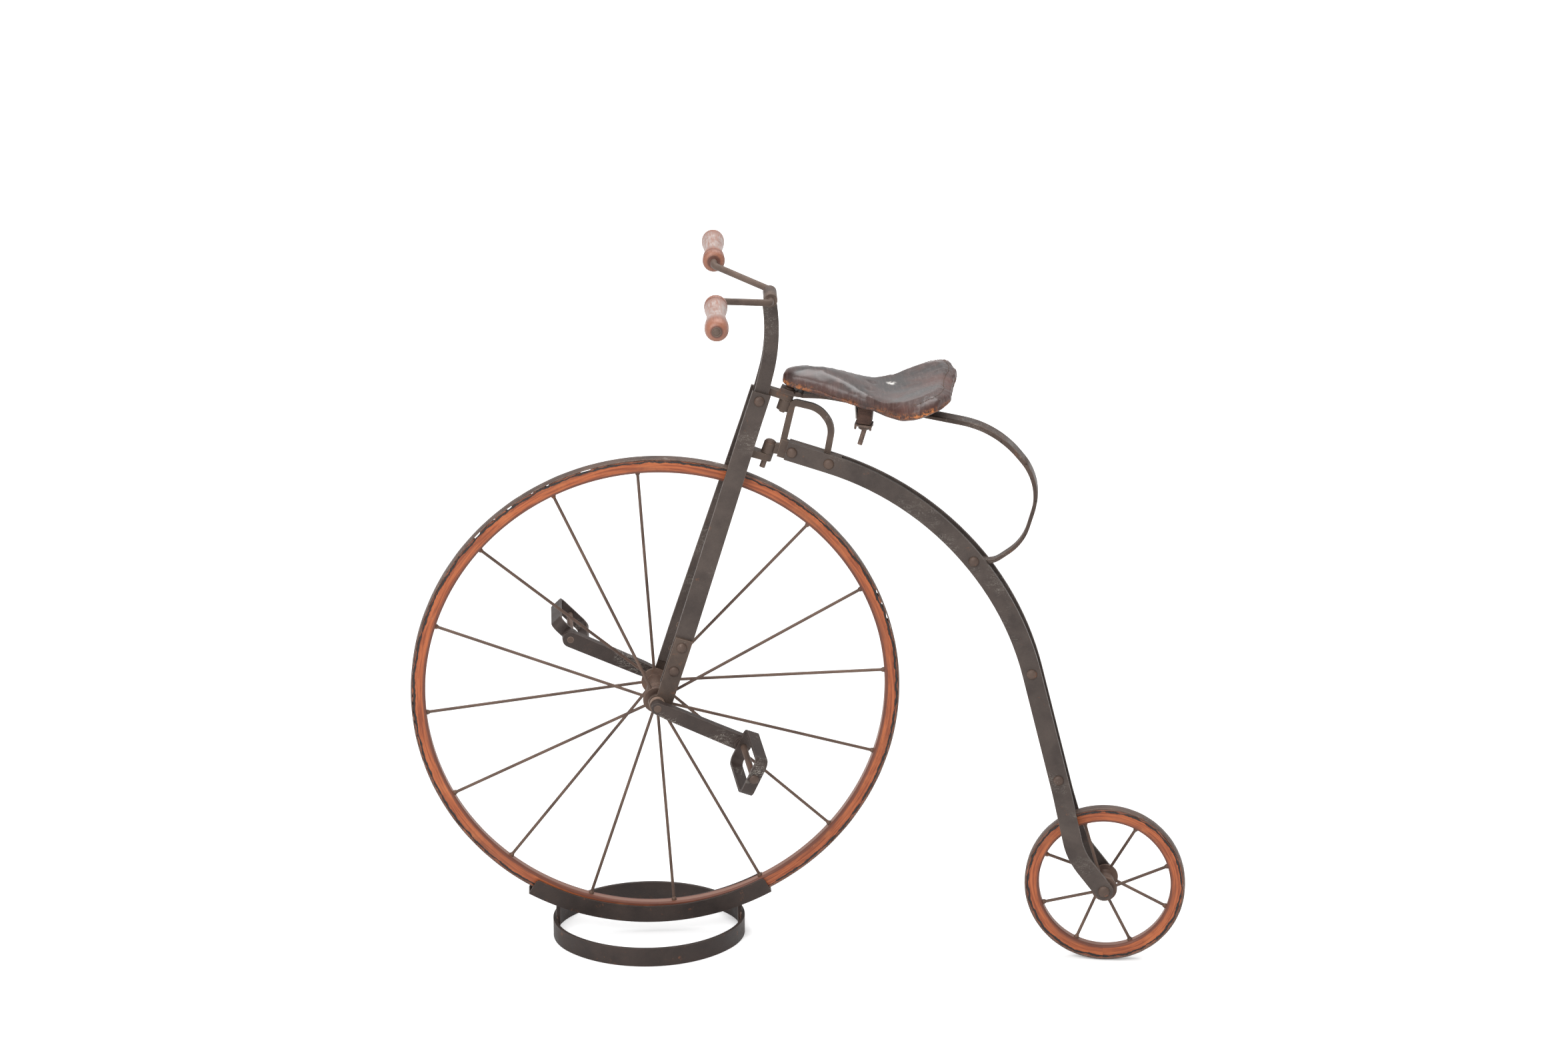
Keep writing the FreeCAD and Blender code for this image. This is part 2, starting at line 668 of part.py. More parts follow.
def head_tool(radius):
    """Round tool along the whole steering axis."""
    return rod(head_point - head_up * FAR, head_point + head_up * FAR, radius)


def lug_shape(centre, half_width):
    """Lug from the blades to an eye on the steering axis; the centre is in its top face."""
    base = centre - head_up * size("lug_thick")
    eye = Part.makeCylinder(size("eye_radius"), size("lug_thick"), base, head_up)
    back = Vector(head_up.z, 0, -head_up.x)
    blade_line = fork_point(0)
    along = (centre - head_up * (size("lug_thick") / 2) - blade_line).dot(head_up) / fork_up.dot(head_up)
    middle = (blade_line + fork_up * along - centre).dot(back)
    front = middle - size("lug_grip") / 2
    behind = middle + size("lug_grip") / 2
    tongue = min(half_width, size("lug_tongue"))
    plan = [Vector(front, half_width, 0), Vector(behind, half_width, 0),
            Vector(behind, tongue, 0), Vector(0, size("eye_radius"), 0)]
    plan += [Vector(p.x, -p.y, 0) for p in reversed(plan)]
    points = [base + back * p.x + Vector(0, p.y, 0) for p in plan]
    web = Part.Face(Part.makePolygon(points + [points[0]])).extrude(head_up * size("lug_thick"))
    fork = [blade, mirrored(blade), neck_right, mirrored(neck_right)]
    holes = [head_tool(size("pivot_radius")), through(crown_rivet_point, size("rivet_radius"))]
    trimmed = web.fuse(eye).cut(holes + fork).removeSplitter()
    return sorted(trimmed.Solids, key=lambda solid: abs(solid.CenterOfMass.y))[0]


face_gap = head_up * size("side_gap")
eye_tall = head_up * size("eye_height")
lower_eye = on_head(head_point.z - size("lower_eye_drop"))
lower_top = lower_eye - face_gap
upper_top = on_head(crown.z - size("upper_lug_drop"))
upper_eye = upper_top - head_up * size("lug_thick") - face_gap - eye_tall
piece("lower_lug", lug_shape(lower_top, 2 * size("fork_half_low")), FRONT)
piece("upper_lug", lug_shape(upper_top, crown_inside), FRONT)

lower_tail = lower_top - head_up * (size("lug_thick") + size("pivot_tail"))
piece("lower_pivot_bolt", bolt_shape(lower_tail, lower_eye + eye_tall + face_gap, size("pivot_radius"),
                                     size("pivot_head_radius"), size("rivet_head")), FRONT)
leaf_eye = upper_top + face_gap + head_up * (size("spring_thick") / 2)
leaf_top = upper_top + face_gap + head_up * size("spring_thick")
piece("upper_pivot_bolt", bolt_shape(upper_eye - head_up * (size("pivot_tail") / 4), leaf_top + face_gap,
                                     size("pivot_radius"), size("pivot_head_radius"),
                                     size("rivet_head")), FRONT)

# ---------------------------------------------------------------- backbone
backbone_start = by_crown("backbone_x", "backbone_z")
backbone_knee = by_crown("backbone_knee_x", "backbone_knee_z")
backbone_path = Path([
    (backbone_start.x, backbone_start.z), (backbone_knee.x, backbone_knee.z),
    (size("stay_knee_x"), size("stay_knee_z")), (rear_axle.x, rear_axle.z)],
    [size("backbone_bend"), size("stay_bend")])


def backbone_point(distance):
    point, _ = backbone_path.at(distance)
    return Vector(point.x, 0, point.y)


parting_top = backbone_point(size("bolt_two")).z
parting_low = backbone_point(size("rivet_one")).z


def backbone_inside(height):
    """Distance of a bar's inner face from the middle plane, above the place where the bars spread."""
    share = min(1.0, max(0.0, (height - parting_low) / (parting_top - parting_low)))
    return size("backbone_half") + share * (size("backbone_half_front") - size("backbone_half"))


def cross_rivet(name, spacer):
    """Rivet through both bars and, where asked, a spacer between the bars."""
    point = backbone_point(size(name))
    inside = backbone_inside(point.z)
    whole = rivet_across(point, inside + thick)
    if spacer:
        whole = whole.fuse(rod(point - Vector(0, inside, 0), point + Vector(0, inside, 0),
                               size("spacer_radius")))
    return whole.removeSplitter()


CROSS_RIVETS = (("spring_rivet", "rivet_one", False), ("middle_rivet", "rivet_two", True),
                ("lower_rivet", "rivet_three", True), ("bracket_bolt_front", "bolt_one", False),
                ("bracket_bolt_rear", "bolt_two", False))
crossing = {label: cross_rivet(name, spacer) for label, name, spacer in CROSS_RIVETS}


def backbone_shape():
    """Right bar: edgewise curve in side view; in front view the bars part towards the rear axle."""
    half = size("bar_width") / 2
    flat = slab(backbone_path.strip(half, half, side_view), Vector(0, 1, 0), FAR)
    flat = flat.fuse(through(rear_axle, half))
    front = Path([(size("backbone_half_front"), FAR), (size("backbone_half_front"), parting_top),
                  (size("backbone_half"), parting_low),
                  (size("backbone_half"), size("rear_radius") + size("stay_spread_top")),
                  (size("stay_half"), size("rear_radius") + size("stay_spread_low")),
                  (size("stay_half"), -FAR)], [size("fork_knee")] * 4)
    bar = flat.common(slab(front.strip(thick, 0, front_view), Vector(1, 0, 0), FAR))
    axle_hole = through(rear_axle, size("rear_axle_radius"))
    return bar.cut(list(crossing.values()) + [axle_hole]).removeSplitter()


backbone_right = backbone_shape()
for side, sign, flip in SIDES:
    piece("backbone_" + side, flip(backbone_right), REAR)
for label, rivet in crossing.items():
    piece(label, rivet, REAR)
piece("rear_axle", pin_through(rear_axle, size("stay_half") + thick, size("rear_axle_radius"),
                               size("rear_axle_head"), size("rivet_head")).removeSplitter(), REAR)

# ---------------------------------------------------------------- head bracket
LOOP = [
    # shares of the bracket's reach and rise from the backbone's end, and of the leg that a bend takes up
    (-0.10, 0.05, 0.0),
    (0.12, 1.00, 0.18),
    (0.66, 0.885, 0.45),
    (0.93, 0.52, 0.45),
    (0.82, -0.10, 0.0),
]


def bracket_shape():
    """Block between the bars, upright in front and a loop behind it, with two pivot eyes."""
    way = backbone_path.at(0)[1]
    way = Vector(way.x, 0, way.y)
    up = Vector(-way.z, 0, way.x)
    half_high = size("bracket_block_height") / 2
    bar = size("bracket_bar")
    nose = backbone_start - way * size("bracket_nose")
    tail = backbone_start + way * size("bracket_block")
    block = Path([(nose.x, nose.z), (tail.x, tail.z)], []).strip(half_high, half_high, side_view)
    block = slab(block, Vector(0, 1, 0), 2 * size("backbone_half_front"))
    points = [(backbone_start.x + x * size("bracket_reach"), backbone_start.z + z * size("bracket_rise"))
              for x, z, _ in LOOP]
    path = eased(points, [share for _, _, share in LOOP[1:-1]])
    loop = slab(path.strip(bar / 2, bar / 2, side_view), Vector(0, 1, 0), bar)
    eyes = [Part.makeCylinder(size("eye_radius"), size("eye_height"), low, head_up)
            for low in (lower_eye, upper_eye)]
    arms = []
    top = Vector(points[1][0], 0, points[1][1])
    for low, end, tall in ((lower_eye, backbone_start, size("bracket_arm")),
                           (upper_eye, top, bar + size("bar_thick") / 2)):
        centre = low + eye_tall * 0.5
        run = Path([(centre.x, centre.z), (end.x, end.z)], [])
        arms.append(slab(run.strip(tall / 2, tall / 2, side_view), Vector(0, 1, 0), bar))
    whole = block.fuse([loop] + eyes + arms)
    gap = size("side_gap")
    room = head_up * (size("rivet_head") + 4 * gap)
    head_room = rod(lower_eye + eye_tall, lower_eye + eye_tall + room, size("pivot_head_radius") + gap)
    lug_room = rod(upper_eye + eye_tall, upper_eye + eye_tall + head_up * size("lug_thick") + room,
                   size("eye_radius") + gap)
    return whole.cut([head_tool(pivot_hole), head_room, lug_room] + list(crossing.values())).removeSplitter()


piece("head_bracket", bracket_shape(), REAR)

# ---------------------------------------------------------------- saddle spring
SPRING = [
    # shares of the way from the upper pivot back to the rivet and from the rivet up to the pivot,
    # and the share of the shorter leg that its bend takes up
    (0.045, 0.984, 0.40),
    (0.190, 0.985, 0.45),
    (0.434, 0.940, 0.30),
    (1.105, 0.810, 0.48),
    (1.354, 0.484, 0.48),
    (1.258, 0.114, 0.48),
    (1.098, -0.015, 0.48),
]


def spring_path():
    """Middle line of the leaf: under the saddle, round behind it and forward to its rivet."""
    foot = backbone_point(size("rivet_one"))
    back = Vector(head_up.z, 0, -head_up.x)
    tip = leaf_eye - back * size("spring_tip")
    across, up = foot.x - leaf_eye.x, leaf_eye.z - foot.z
    corners = [(leaf_eye.x + x * across, foot.z + z * up) for x, z, _ in SPRING]
    return eased([(tip.x, tip.z)] + corners + [(foot.x, foot.z)], [share for _, _, share in SPRING])


def spring_shape():
    """Leaf that starts on the upper pivot, runs under the saddle and curls down to the backbone."""
    foot = backbone_point(size("rivet_one"))
    half = size("spring_thick") / 2
    wide = size("spring_width")
    leaf = slab(spring_path().strip(half, half, side_view), Vector(0, 1, 0), wide)
    roll = Part.makeCylinder(size("spring_eye"), wide, foot - Vector(0, wide / 2, 0), Vector(0, 1, 0))
    return leaf.fuse(roll).cut([through(foot, size("rivet_radius")), head_tool(pivot_hole)]).removeSplitter()


leaf = spring_shape()
piece("saddle_spring", leaf, REAR)

# ---------------------------------------------------------------- saddle
SADDLE = [
    # share of the length, share of the width, then shares of the thickness above the base:
    # underside, middle of the top, edge of the top
    (0.00, 0.14, 0.69, 0.92, 0.88),
    (0.07, 0.24, 0.57, 1.04, 0.90),
    (0.20, 0.30, 0.42, 0.93, 0.77),
    (0.36, 0.37, 0.25, 0.75, 0.59),
    (0.50, 0.49, 0.13, 0.45, 0.44),
    (0.62, 0.70, 0.05, 0.28, 0.36),
    (0.72, 0.92, 0.09, 0.30, 0.48),
    (0.82, 1.00, 0.22, 0.41, 0.66),
    (0.92, 0.90, 0.42, 0.60, 0.83),
    (1.00, 0.54, 0.54, 0.73, 0.80),
]
saddle_base = by_crown("clamp_x", "saddle_base_z")


def saddle_section(along, share, low, middle, edge):
    """Closed section across the saddle: flat underside, crowned or dished top and thick edges."""
    x = crown.x + size("saddle_front_x") + along * size("saddle_length")
    half = share * size("saddle_width") / 2
    tall = size("saddle_thick")
    right = [(half * 0.85, low), (half, (low + edge) / 2), (half * 0.88, edge),
             (half * 0.45, (2 * middle + edge) / 3)]
    points = [Vector(x, y, saddle_base.z + z * tall) for y, z in right]
    points.append(Vector(x, 0, saddle_base.z + middle * tall))
    points += [Vector(x, -y, saddle_base.z + z * tall) for y, z in reversed(right)]
    return Part.makePolygon(points + [points[0]])


def saddle_shape():
    pad = Part.makeLoft([saddle_section(*row) for row in SADDLE], True, True)
    pad.rotate(saddle_base, Vector(1, 0, 0), size("saddle_roll"))
    return pad


def clamp_shape():
    """Saddle clamp: a block round the leaf, up to the saddle, with a threaded bolt below."""
    place, way = leaf_at(saddle_base.x)
    drop = size("clamp_drop")
    long = size("clamp_length")
    wide = size("clamp_width")
    block = Part.makeBox(long, wide, drop + size("saddle_thick"), Vector(-long / 2, -wide / 2, -drop))
    low = Vector(0, 0, -drop)
    bolt = rod(low, low - Vector(0, 0, size("clamp_bolt")), size("clamp_bolt_radius"))
    nut = Part.makeCylinder(size("clamp_nut_radius"), size("clamp_nut"), low - Vector(0, 0, size("clamp_nut")))
    whole = block.fuse([bolt, nut])
    whole.Placement = Placement(place, Rotation(Vector(0, 1, 0), -math.degrees(math.atan2(way.z, way.x))))
    trimmed = whole.cut([leaf, pad])
    return sorted(trimmed.Solids, key=lambda solid: solid.CenterOfMass.z)[0]


def leaf_at(x):
    """Point and direction of the leaf's middle line where it passes under the saddle at x."""
    path = spring_path()
    low, high = 0.0, size("spring_tip") + size("saddle_length")
    for _ in range(40):
        middle = (low + high) / 2
        low, high = (middle, high) if path.at(middle)[0].x < x else (low, middle)
    point, way = path.at(low)
    return Vector(point.x, 0, point.y), Vector(way.x, 0, way.y)


pad = saddle_shape()
piece("saddle", pad, REAR)
piece("saddle_clamp", clamp_shape(), REAR)

# ---------------------------------------------------------------- handlebar
turned("handlebar_collar", [("0", "-<collar_length> / 2"), ("<collar_radius>", "-<collar_length> / 2"),
                            ("<collar_radius>", "<collar_length> / 2"), ("0", "<collar_length> / 2")],
       COLLAR * Placement(collar, Rotation()))
grip_start = collar + Vector(-size("grip_forward"), size("grip_inner"), size("grip_rise"))


def handlebar_rod():
    """Right half of the rod: out of the collar, forward and outward, then level into the grip."""
    end = grip_start + Vector(0, size("grip_length"), 0)
    start = collar + Vector(0, size("collar_length") / 2, 0)
    points = [start, start + Vector(0, size("rod_stub"), 0), grip_start - Vector(0, size("rod_tail"), 0), end]
    bend = size("rod_bend")
    edges = []
    here = points[0]
    for index in (1, 2):
        corner = points[index]
        arrive = (corner - points[index - 1]).normalize()
        leave = (points[index + 1] - corner).normalize()
        half_turn = arrive.getAngle(leave) / 2
        reach = bend * math.tan(half_turn)
        first = corner - arrive * reach
        last = corner + leave * reach
        depth = bend / math.cos(half_turn) - bend
        edges.append(Part.LineSegment(here, first).toShape())
        edges.append(Part.Arc(first, corner + (leave - arrive).normalize() * depth, last).toShape())
        here = last
    edges.append(Part.LineSegment(here, points[3]).toShape())
    circle = Part.Wire(Part.makeCircle(size("rod_radius"), start, Vector(0, 1, 0)))
    return Part.Wire(edges).makePipeShell([circle], True, False)


GRIP = [
    # share of the length, then a factor on the named radius
    (0.00, "grip_radius", 0.62), (0.06, "grip_collar", 0.99), (0.12, "grip_collar", 0.93),
    (0.17, "grip_collar", 1.00), (0.20, "grip_waist", 0.98), (0.45, "grip_waist", 1.00),
    (0.72, "grip_radius", 0.88), (0.80, "grip_radius", 0.97), (0.88, "grip_radius", 1.00),
    (0.96, "grip_radius", 0.86), (1.00, "grip_radius", 0.62),
]


def grip_shape():
    """Right grip: turned handle with a ring at its inner end, a waist and a bulb outside."""
    long = size("grip_length")
    bore = size("rod_radius")
    profile = [(size(name) * factor, share * long) for share, name, factor in GRIP]
    solid = spun([(bore, 0)] + profile + [(bore, long)])
    solid.translate(grip_start)
    return solid


rod_right = handlebar_rod()
grip_right = grip_shape()
for side, sign, flip in SIDES:
    for label, half in (("handlebar_", rod_right), ("grip_", grip_right)):
        shape = half.copy() if sign > 0 else half.mirror(Vector(), Vector(0, 1, 0))
        piece(label + side, shape, COLLAR)


# ---------------------------------------------------------------- cranks and pedals
def pin_way(side, sign):
    """Direction of a pedal pin from the crank outwards."""
    droop = math.radians(size(side + "_pin_droop"))
    lean = math.radians(size(side + "_pin_lean"))
    return Vector(math.sin(lean), sign * math.cos(lean) * math.cos(droop), -math.sin(droop)).normalize()


def crank_tip(sign):
    """Middle of the crank's outer face at its pedal pin."""
    angle = math.radians(size("crank_angle"))
    way = Vector(math.cos(angle), 0, math.sin(angle)) * (-sign)
    return front_axle + way * size("crank_length") + Vector(0, sign * crank_out, 0)


def crank_shape(side, sign):
    """Crank riveted on the axle, full width from its shoulder to the washer at the pedal pin."""
    tip = crank_tip(sign)
    end = Vector(tip.x, 0, tip.z)
    way = (end - front_axle).normalize()
    left = Vector(-way.z, 0, way.x)
    shoulder = front_axle + way * size("crank_shoulder")
    half = size("crank_width") / 2
    corners = [front_axle + left * size("crank_eye"), shoulder + left * half, end + left * size("crank_end")]
    corners += [end - left * size("crank_end"), shoulder - left * half, front_axle - left * size("crank_eye")]
    thickness = Vector(0, size("crank_thick"), 0)
    bar = Part.Face(Part.makePolygon(corners + [corners[0]])).extrude(thickness)
    ends = [Part.makeCylinder(size(name), size("crank_thick"), centre, Vector(0, 1, 0))
            for name, centre in (("crank_eye", front_axle), ("crank_end", end))]
    shape = bar.fuse(ends)
    shape.translate(Vector(0, crank_in if sign > 0 else -crank_out, 0))
    out = pin_way(side, sign)
    washer = rod(tip - out * (size("crank_thick") / 2), tip + out * size("crank_boss"),
                 size("crank_boss_radius"))
    pin_hole = rod(tip - out * FAR, tip + out * FAR, size("pin_radius"))
    return shape.fuse(washer).cut([through(front_axle, size("axle_end_radius")), pin_hole]).removeSplitter()


def hoop_block(length, tall, corner, start):
    """Block along Y with its four edges along X rounded."""
    bar = size("pedal_bar")
    block = Part.makeBox(bar, length, tall, Vector(-bar / 2, start, -tall / 2))
    edges = [edge for edge in block.Edges if abs(edge.tangentAt(edge.FirstParameter).x) > 0.9]
    return block.makeFillet(corner, edges)


hoop_start = size("crank_boss") + size("side_gap")


def pedal_shape(side, sign):
    """Hoop of flat bar round its pin, clear of the crank's washer."""
    wall = size("pedal_bar_thick")
    outside = hoop_block(size("pedal_length"), size("pedal_tall"), size("pedal_corner"), hoop_start)
    inside = hoop_block(size("pedal_length") - 2 * wall, size("pedal_tall") - 2 * wall,
                        size("pedal_corner") - wall, hoop_start + wall)
    hoop = outside.cut([inside, through(Vector(), size("pin_radius") + size("running_gap"))])
    if sign < 0:
        hoop = mirrored(hoop)
    hoop.rotate(Vector(), Vector(0, 1, 0), size(side + "_pedal_turn"))
    return hoop


def pedal_pin(side, sign):
    """Pin fixed in the crank, with a round head outside the hoop and a riveted inner end."""
    tip = crank_tip(sign)
    out = pin_way(side, sign)
    outside = hoop_start + size("pedal_length") + size("side_gap")
    inner = size("crank_thick") / abs(out.y)
    return bolt_shape(tip - out * inner, tip + out * outside, size("pin_radius"),
                      size("pin_head_radius"), size("pin_head"))


for side, sign, flip in SIDES:
    square = Rotation(Vector(0, sign, 0), pin_way(side, sign))
    piece("crank_" + side, crank_shape(side, sign), FRONT)
    piece("pedal_pin_" + side, pedal_pin(side, sign), FRONT)
    piece("pedal_" + side, pedal_shape(side, sign), FRONT * Placement(crank_tip(sign), square))


# ---------------------------------------------------------------- stand
def oval(shrink, height):
    """Upright prism on the hoop's oval of four arcs, made smaller all round by an amount."""
    a = size("ring_length") / 2 - shrink
    b = size("ring_width") / 2 - shrink
    small = b * b / a * 0.98
    big = ((a - small) ** 2 + b * b - small * small) / (2 * (b - small))
    centre_a = a - small
    centre_b = big - b
    way = math.atan2(centre_b, centre_a)
    join = Vector(centre_a + small * math.cos(way), small * math.sin(way), 0)
    marks = [Vector(join.x, -join.y, 0), Vector(a, 0, 0), join, Vector(0, b, 0),
             Vector(-join.x, join.y, 0), Vector(-a, 0, 0), Vector(-join.x, -join.y, 0), Vector(0, -b, 0)]
    edges = [Part.Arc(marks[i], marks[i + 1], marks[(i + 2) % 8]).toShape() for i in (0, 2, 4, 6)]
    prism = Part.Face(Part.Wire(edges)).extrude(Vector(0, 0, height))
    prism.translate(Vector(size("ring_offset"), 0, 0))
    return prism


trough_centre = front_axle + Vector(size("trough_offset"), 0, 0)
trough_half_in = half_wheel + size("trough_side_gap")
trough_half_out = trough_half_in + size("trough_thick")


def trough_shape():
    """Channel bent round the bottom of the front tyre, its walls' upper corners rounded."""
    top = trough_out - size("trough_depth")
    profile = [(top, -trough_half_out), (trough_out, -trough_half_out), (trough_out, trough_half_out),
               (top, trough_half_out), (top, trough_half_in), (trough_in, trough_half_in),
               (trough_in, -trough_half_in), (top, -trough_half_in)]
    points = [trough_centre + Vector(0, y, -r) for r, y in profile]
    face = Part.Face(Part.makePolygon(points + [points[0]]))
    face.rotate(trough_centre, Vector(0, 1, 0), size("trough_front_angle"))
    sweep = size("trough_front_angle") + size("trough_rear_angle")
    trough = face.revolve(trough_centre, Vector(0, 1, 0), -sweep)
    ends = []
    for edge in trough.Edges:
        line = abs(edge.tangentAt(edge.FirstParameter).y) > 0.999
        radius = (edge.CenterOfMass - trough_centre).Length
        if line and edge.Length < 1.5 * size("trough_thick") and radius < top + size("trough_thick"):
            ends.append(edge)
    return trough.makeFillet(size("trough_corner"), ends)


def post_shape(side):
    """Short upright inside the hoop, from near the floor to the trough's underside."""
    inner = size("ring_length") / 2 - size("ring_thick")
    x = size("ring_offset") + side * inner
    low = x - size("post_thick") if side > 0 else x
    slack = size("ring_thick")
    post = Part.makeBox(size("post_thick") + slack, size("post_width"), size("front_radius"),
                        Vector(low - (0 if side > 0 else slack), -size("post_width") / 2, size("post_lift")))
    under = Part.makeCylinder(trough_out, FAR, trough_centre - Vector(0, FAR / 2, 0), Vector(0, 1, 0))
    inside = oval(size("ring_thick"), FAR)
    solids = post.common(inside).cut(under).Solids
    return sorted(solids, key=lambda solid: solid.CenterOfMass.z)[0]


piece("stand_ring", oval(0, size("ring_height")).cut(oval(size("ring_thick"), size("ring_height"))), FRONT)
piece("stand_trough", trough_shape(), FRONT)
piece("stand_post_front", post_shape(-1), FRONT)
piece("stand_post_rear", post_shape(1), FRONT)

# ---------------------------------------------------------------- check and write
doc.recompute()
for thing in doc.Objects:
    if "Invalid" in thing.State or "Error" in thing.State:
        raise RuntimeError("%s did not build" % thing.Label)
for thing in PARTS:
    if thing.Shape.isNull() or not thing.Shape.isValid() or not thing.Shape.Solids:
        raise RuntimeError("%s has no valid solid" % thing.Label)
os.makedirs("parts", exist_ok=True)
for thing in PARTS:
    thing.Shape.exportStep("parts/%s.step" % thing.Label)
    box = thing.Shape.BoundBox
    print("%-20s solids %d volume %9.0f  x %7.1f %7.1f  y %7.1f %7.1f  z %7.1f %7.1f" % (
        thing.Label, len(thing.Shape.Solids), thing.Shape.Volume, box.XMin, box.XMax,
        box.YMin, box.YMax, box.ZMin, box.ZMax))
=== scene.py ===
"""High-wheel bicycle on its stand: finishes, worn wood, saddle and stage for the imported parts."""
import json
import math

import bmesh
import bpy
from bpy.props import FloatProperty, FloatVectorProperty, IntProperty, PointerProperty
from mathutils import Matrix, Vector, noise
from mathutils.bvhtree import BVHTree


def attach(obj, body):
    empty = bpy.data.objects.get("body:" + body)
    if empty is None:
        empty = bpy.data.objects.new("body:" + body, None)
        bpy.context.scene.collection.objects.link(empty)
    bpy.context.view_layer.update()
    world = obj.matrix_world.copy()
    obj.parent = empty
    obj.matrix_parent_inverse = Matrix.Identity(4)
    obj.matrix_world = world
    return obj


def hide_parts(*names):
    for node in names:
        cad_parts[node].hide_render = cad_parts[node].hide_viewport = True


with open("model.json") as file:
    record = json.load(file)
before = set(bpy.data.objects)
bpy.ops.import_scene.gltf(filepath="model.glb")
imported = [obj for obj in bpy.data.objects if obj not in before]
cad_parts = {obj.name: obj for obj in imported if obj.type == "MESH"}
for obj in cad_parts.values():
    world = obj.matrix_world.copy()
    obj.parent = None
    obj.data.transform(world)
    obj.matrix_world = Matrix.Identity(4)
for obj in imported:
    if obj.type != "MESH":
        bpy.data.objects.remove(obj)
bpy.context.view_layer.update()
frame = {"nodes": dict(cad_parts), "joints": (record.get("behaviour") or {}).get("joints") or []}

bl_info = {
    "name": "High-wheel bicycle finishes",
    "version": (1, 0, 0),
    "blender": (4, 5, 0),
    "location": "View3D > Sidebar > High Wheel",
    "description": "Worn iron, split wooden rims, leather saddle and a pale stage for a high-wheel bicycle",
    "category": "Object",
}

NODES = frame["nodes"]
JOINTS = {joint["name"]: joint for joint in frame["joints"]}
MM = 0.001


# ---------------------------------------------------------------- places read from the frame
def joint_place(name):
    return Vector(JOINTS[name]["pos_m"])


def joint_axis(name):
    return Vector(JOINTS[name]["axis"]).normalized()


def rest_turn():
    """How far the rear frame is turned at rest: the middle of the steering range is straight ahead."""
    low, high = JOINTS["steering"]["range_deg"]
    return math.radians((low + high) / 2)


def node_points(name, space=Matrix()):
    """A CAD node's vertices, seen from another space."""
    back = space.inverted()
    return [back @ vertex.co for vertex in NODES[name].data.vertices]


def node_span(name, space=Matrix()):
    """Lowest and highest corner of a CAD node, seen from another space."""
    columns = list(zip(*node_points(name, space)))
    return Vector([min(column) for column in columns]), Vector([max(column) for column in columns])


def node_middle(name):
    low, high = node_span(name)
    return (low + high) / 2


HEAD = joint_place("steering")
# from the straight frame, as if the wheels were in line, to where the rear frame rests; and back
STEER = (Matrix.Translation(HEAD) @ Matrix.Rotation(-rest_turn(), 4, joint_axis("steering"))
         @ Matrix.Translation(-HEAD))
STRAIGHT = STEER.inverted()
FRONT_AXLE = joint_place("front_wheel_spin")
FRONT_WHEEL = Matrix.Translation(FRONT_AXLE)
REAR_WHEEL = Matrix.Translation(joint_place("rear_wheel_spin")) @ STEER.to_3x3().to_4x4()
HEAD_UP = joint_axis("steering") if joint_axis("steering").z > 0 else -joint_axis("steering")
BAR_WAY = (node_middle("grip_right") - node_middle("grip_left")).normalized()


# ---------------------------------------------------------------- sizes and colours
def tint(name, description, default):
    return FloatVectorProperty(name=name, description=description, subtype="COLOR", size=3,
                               min=0.0, max=1.0, default=default)


def amount(name, description, default, **settings):
    return FloatProperty(name=name, description=description, default=default, **settings)


def length(name, description, millimetres):
    return amount(name, description, millimetres * MM, unit="LENGTH")


class IronLooks(bpy.types.PropertyGroup):
    dark: tint("Dark iron", "Old finish in the hollows", (0.035, 0.0245, 0.0205))
    light: tint("Rubbed iron", "Where the finish is thin", (0.067, 0.0500, 0.0420))
    # worn: bare edges, partly a painted highlight on every edge
    worn: tint("Worn and highlighted edge", "Bare edges and corners, with a painted highlight", (0.26, 0.20, 0.17))
    rust: tint("Rust", "Rust in small patches", (0.20, 0.072, 0.028))
    pale: tint("Scrape", "Pale scrapes and dried dirt", (0.42, 0.37, 0.33))
    scratch: tint("Scratch", "Thin bright scratches", (0.70, 0.66, 0.58))
    edge_width: length("Edge width", "Width of the worn edge", 1.2)


class WoodLooks(bpy.types.PropertyGroup):
    light: tint("Wood", "Bare face of the rims", (0.37, 0.092, 0.024))
    dark: tint("Grain", "Dark streaks of the grain", (0.17, 0.046, 0.017))
    # edge: painted shade along the rounded inner edge of the rim
    edge: tint("Shaded inner edge", "Painted shade on the rounded inner edge", (0.085, 0.024, 0.013))
    crack: tint("Crack", "Inside of the cracks", (0.006, 0.004, 0.004))
    fresh: tint("Fresh chip", "Wood laid bare in small chips", (0.80, 0.62, 0.45))
    # strip: painted shade in the recess between the crack and the tyre
    strip: tint("Shaded strip", "Painted shade on the wood between the crack and the tyre", (0.075, 0.036, 0.026))
    inner: tint("Inner face", "Greyed wood that faces the hub", (0.27, 0.155, 0.115))
    chip: length("Chip", "How far the edge under the tyre has broken away", 0.8)
    notch: length("Notch", "How deep the broken edge goes into the rim", 2.4)
    steps: IntProperty(name="Steps", description="Steps round a rim", default=960, min=48)


class LeatherLooks(bpy.types.PropertyGroup):
    dark: tint("Dark leather", "Blackened leather", (0.014, 0.0085, 0.0075))
    red: tint("Brown leather", "Where the dye has thinned", (0.060, 0.018, 0.011))
    worn: tint("Worn leather", "Bare orange leather", (0.46, 0.155, 0.042))
    pale: tint("Scratch", "White nick", (0.75, 0.72, 0.68))
    brushed: tint("Brushed leather", "Rubbed lines across the rear", (0.135, 0.092, 0.080))
    pore: tint("Pore", "Bottom of the pores", (0.008, 0.005, 0.004))
    voxel: length("Voxel", "Grid of the remeshed pad", 4.0)
    swell: length("Swell", "Furthest that the leather may swell", 5.0)
    welt: length("Welt", "Height of the sewn edge", 4.2)
    pitch: length("Stitch", "Distance between two stitches", 6.4)


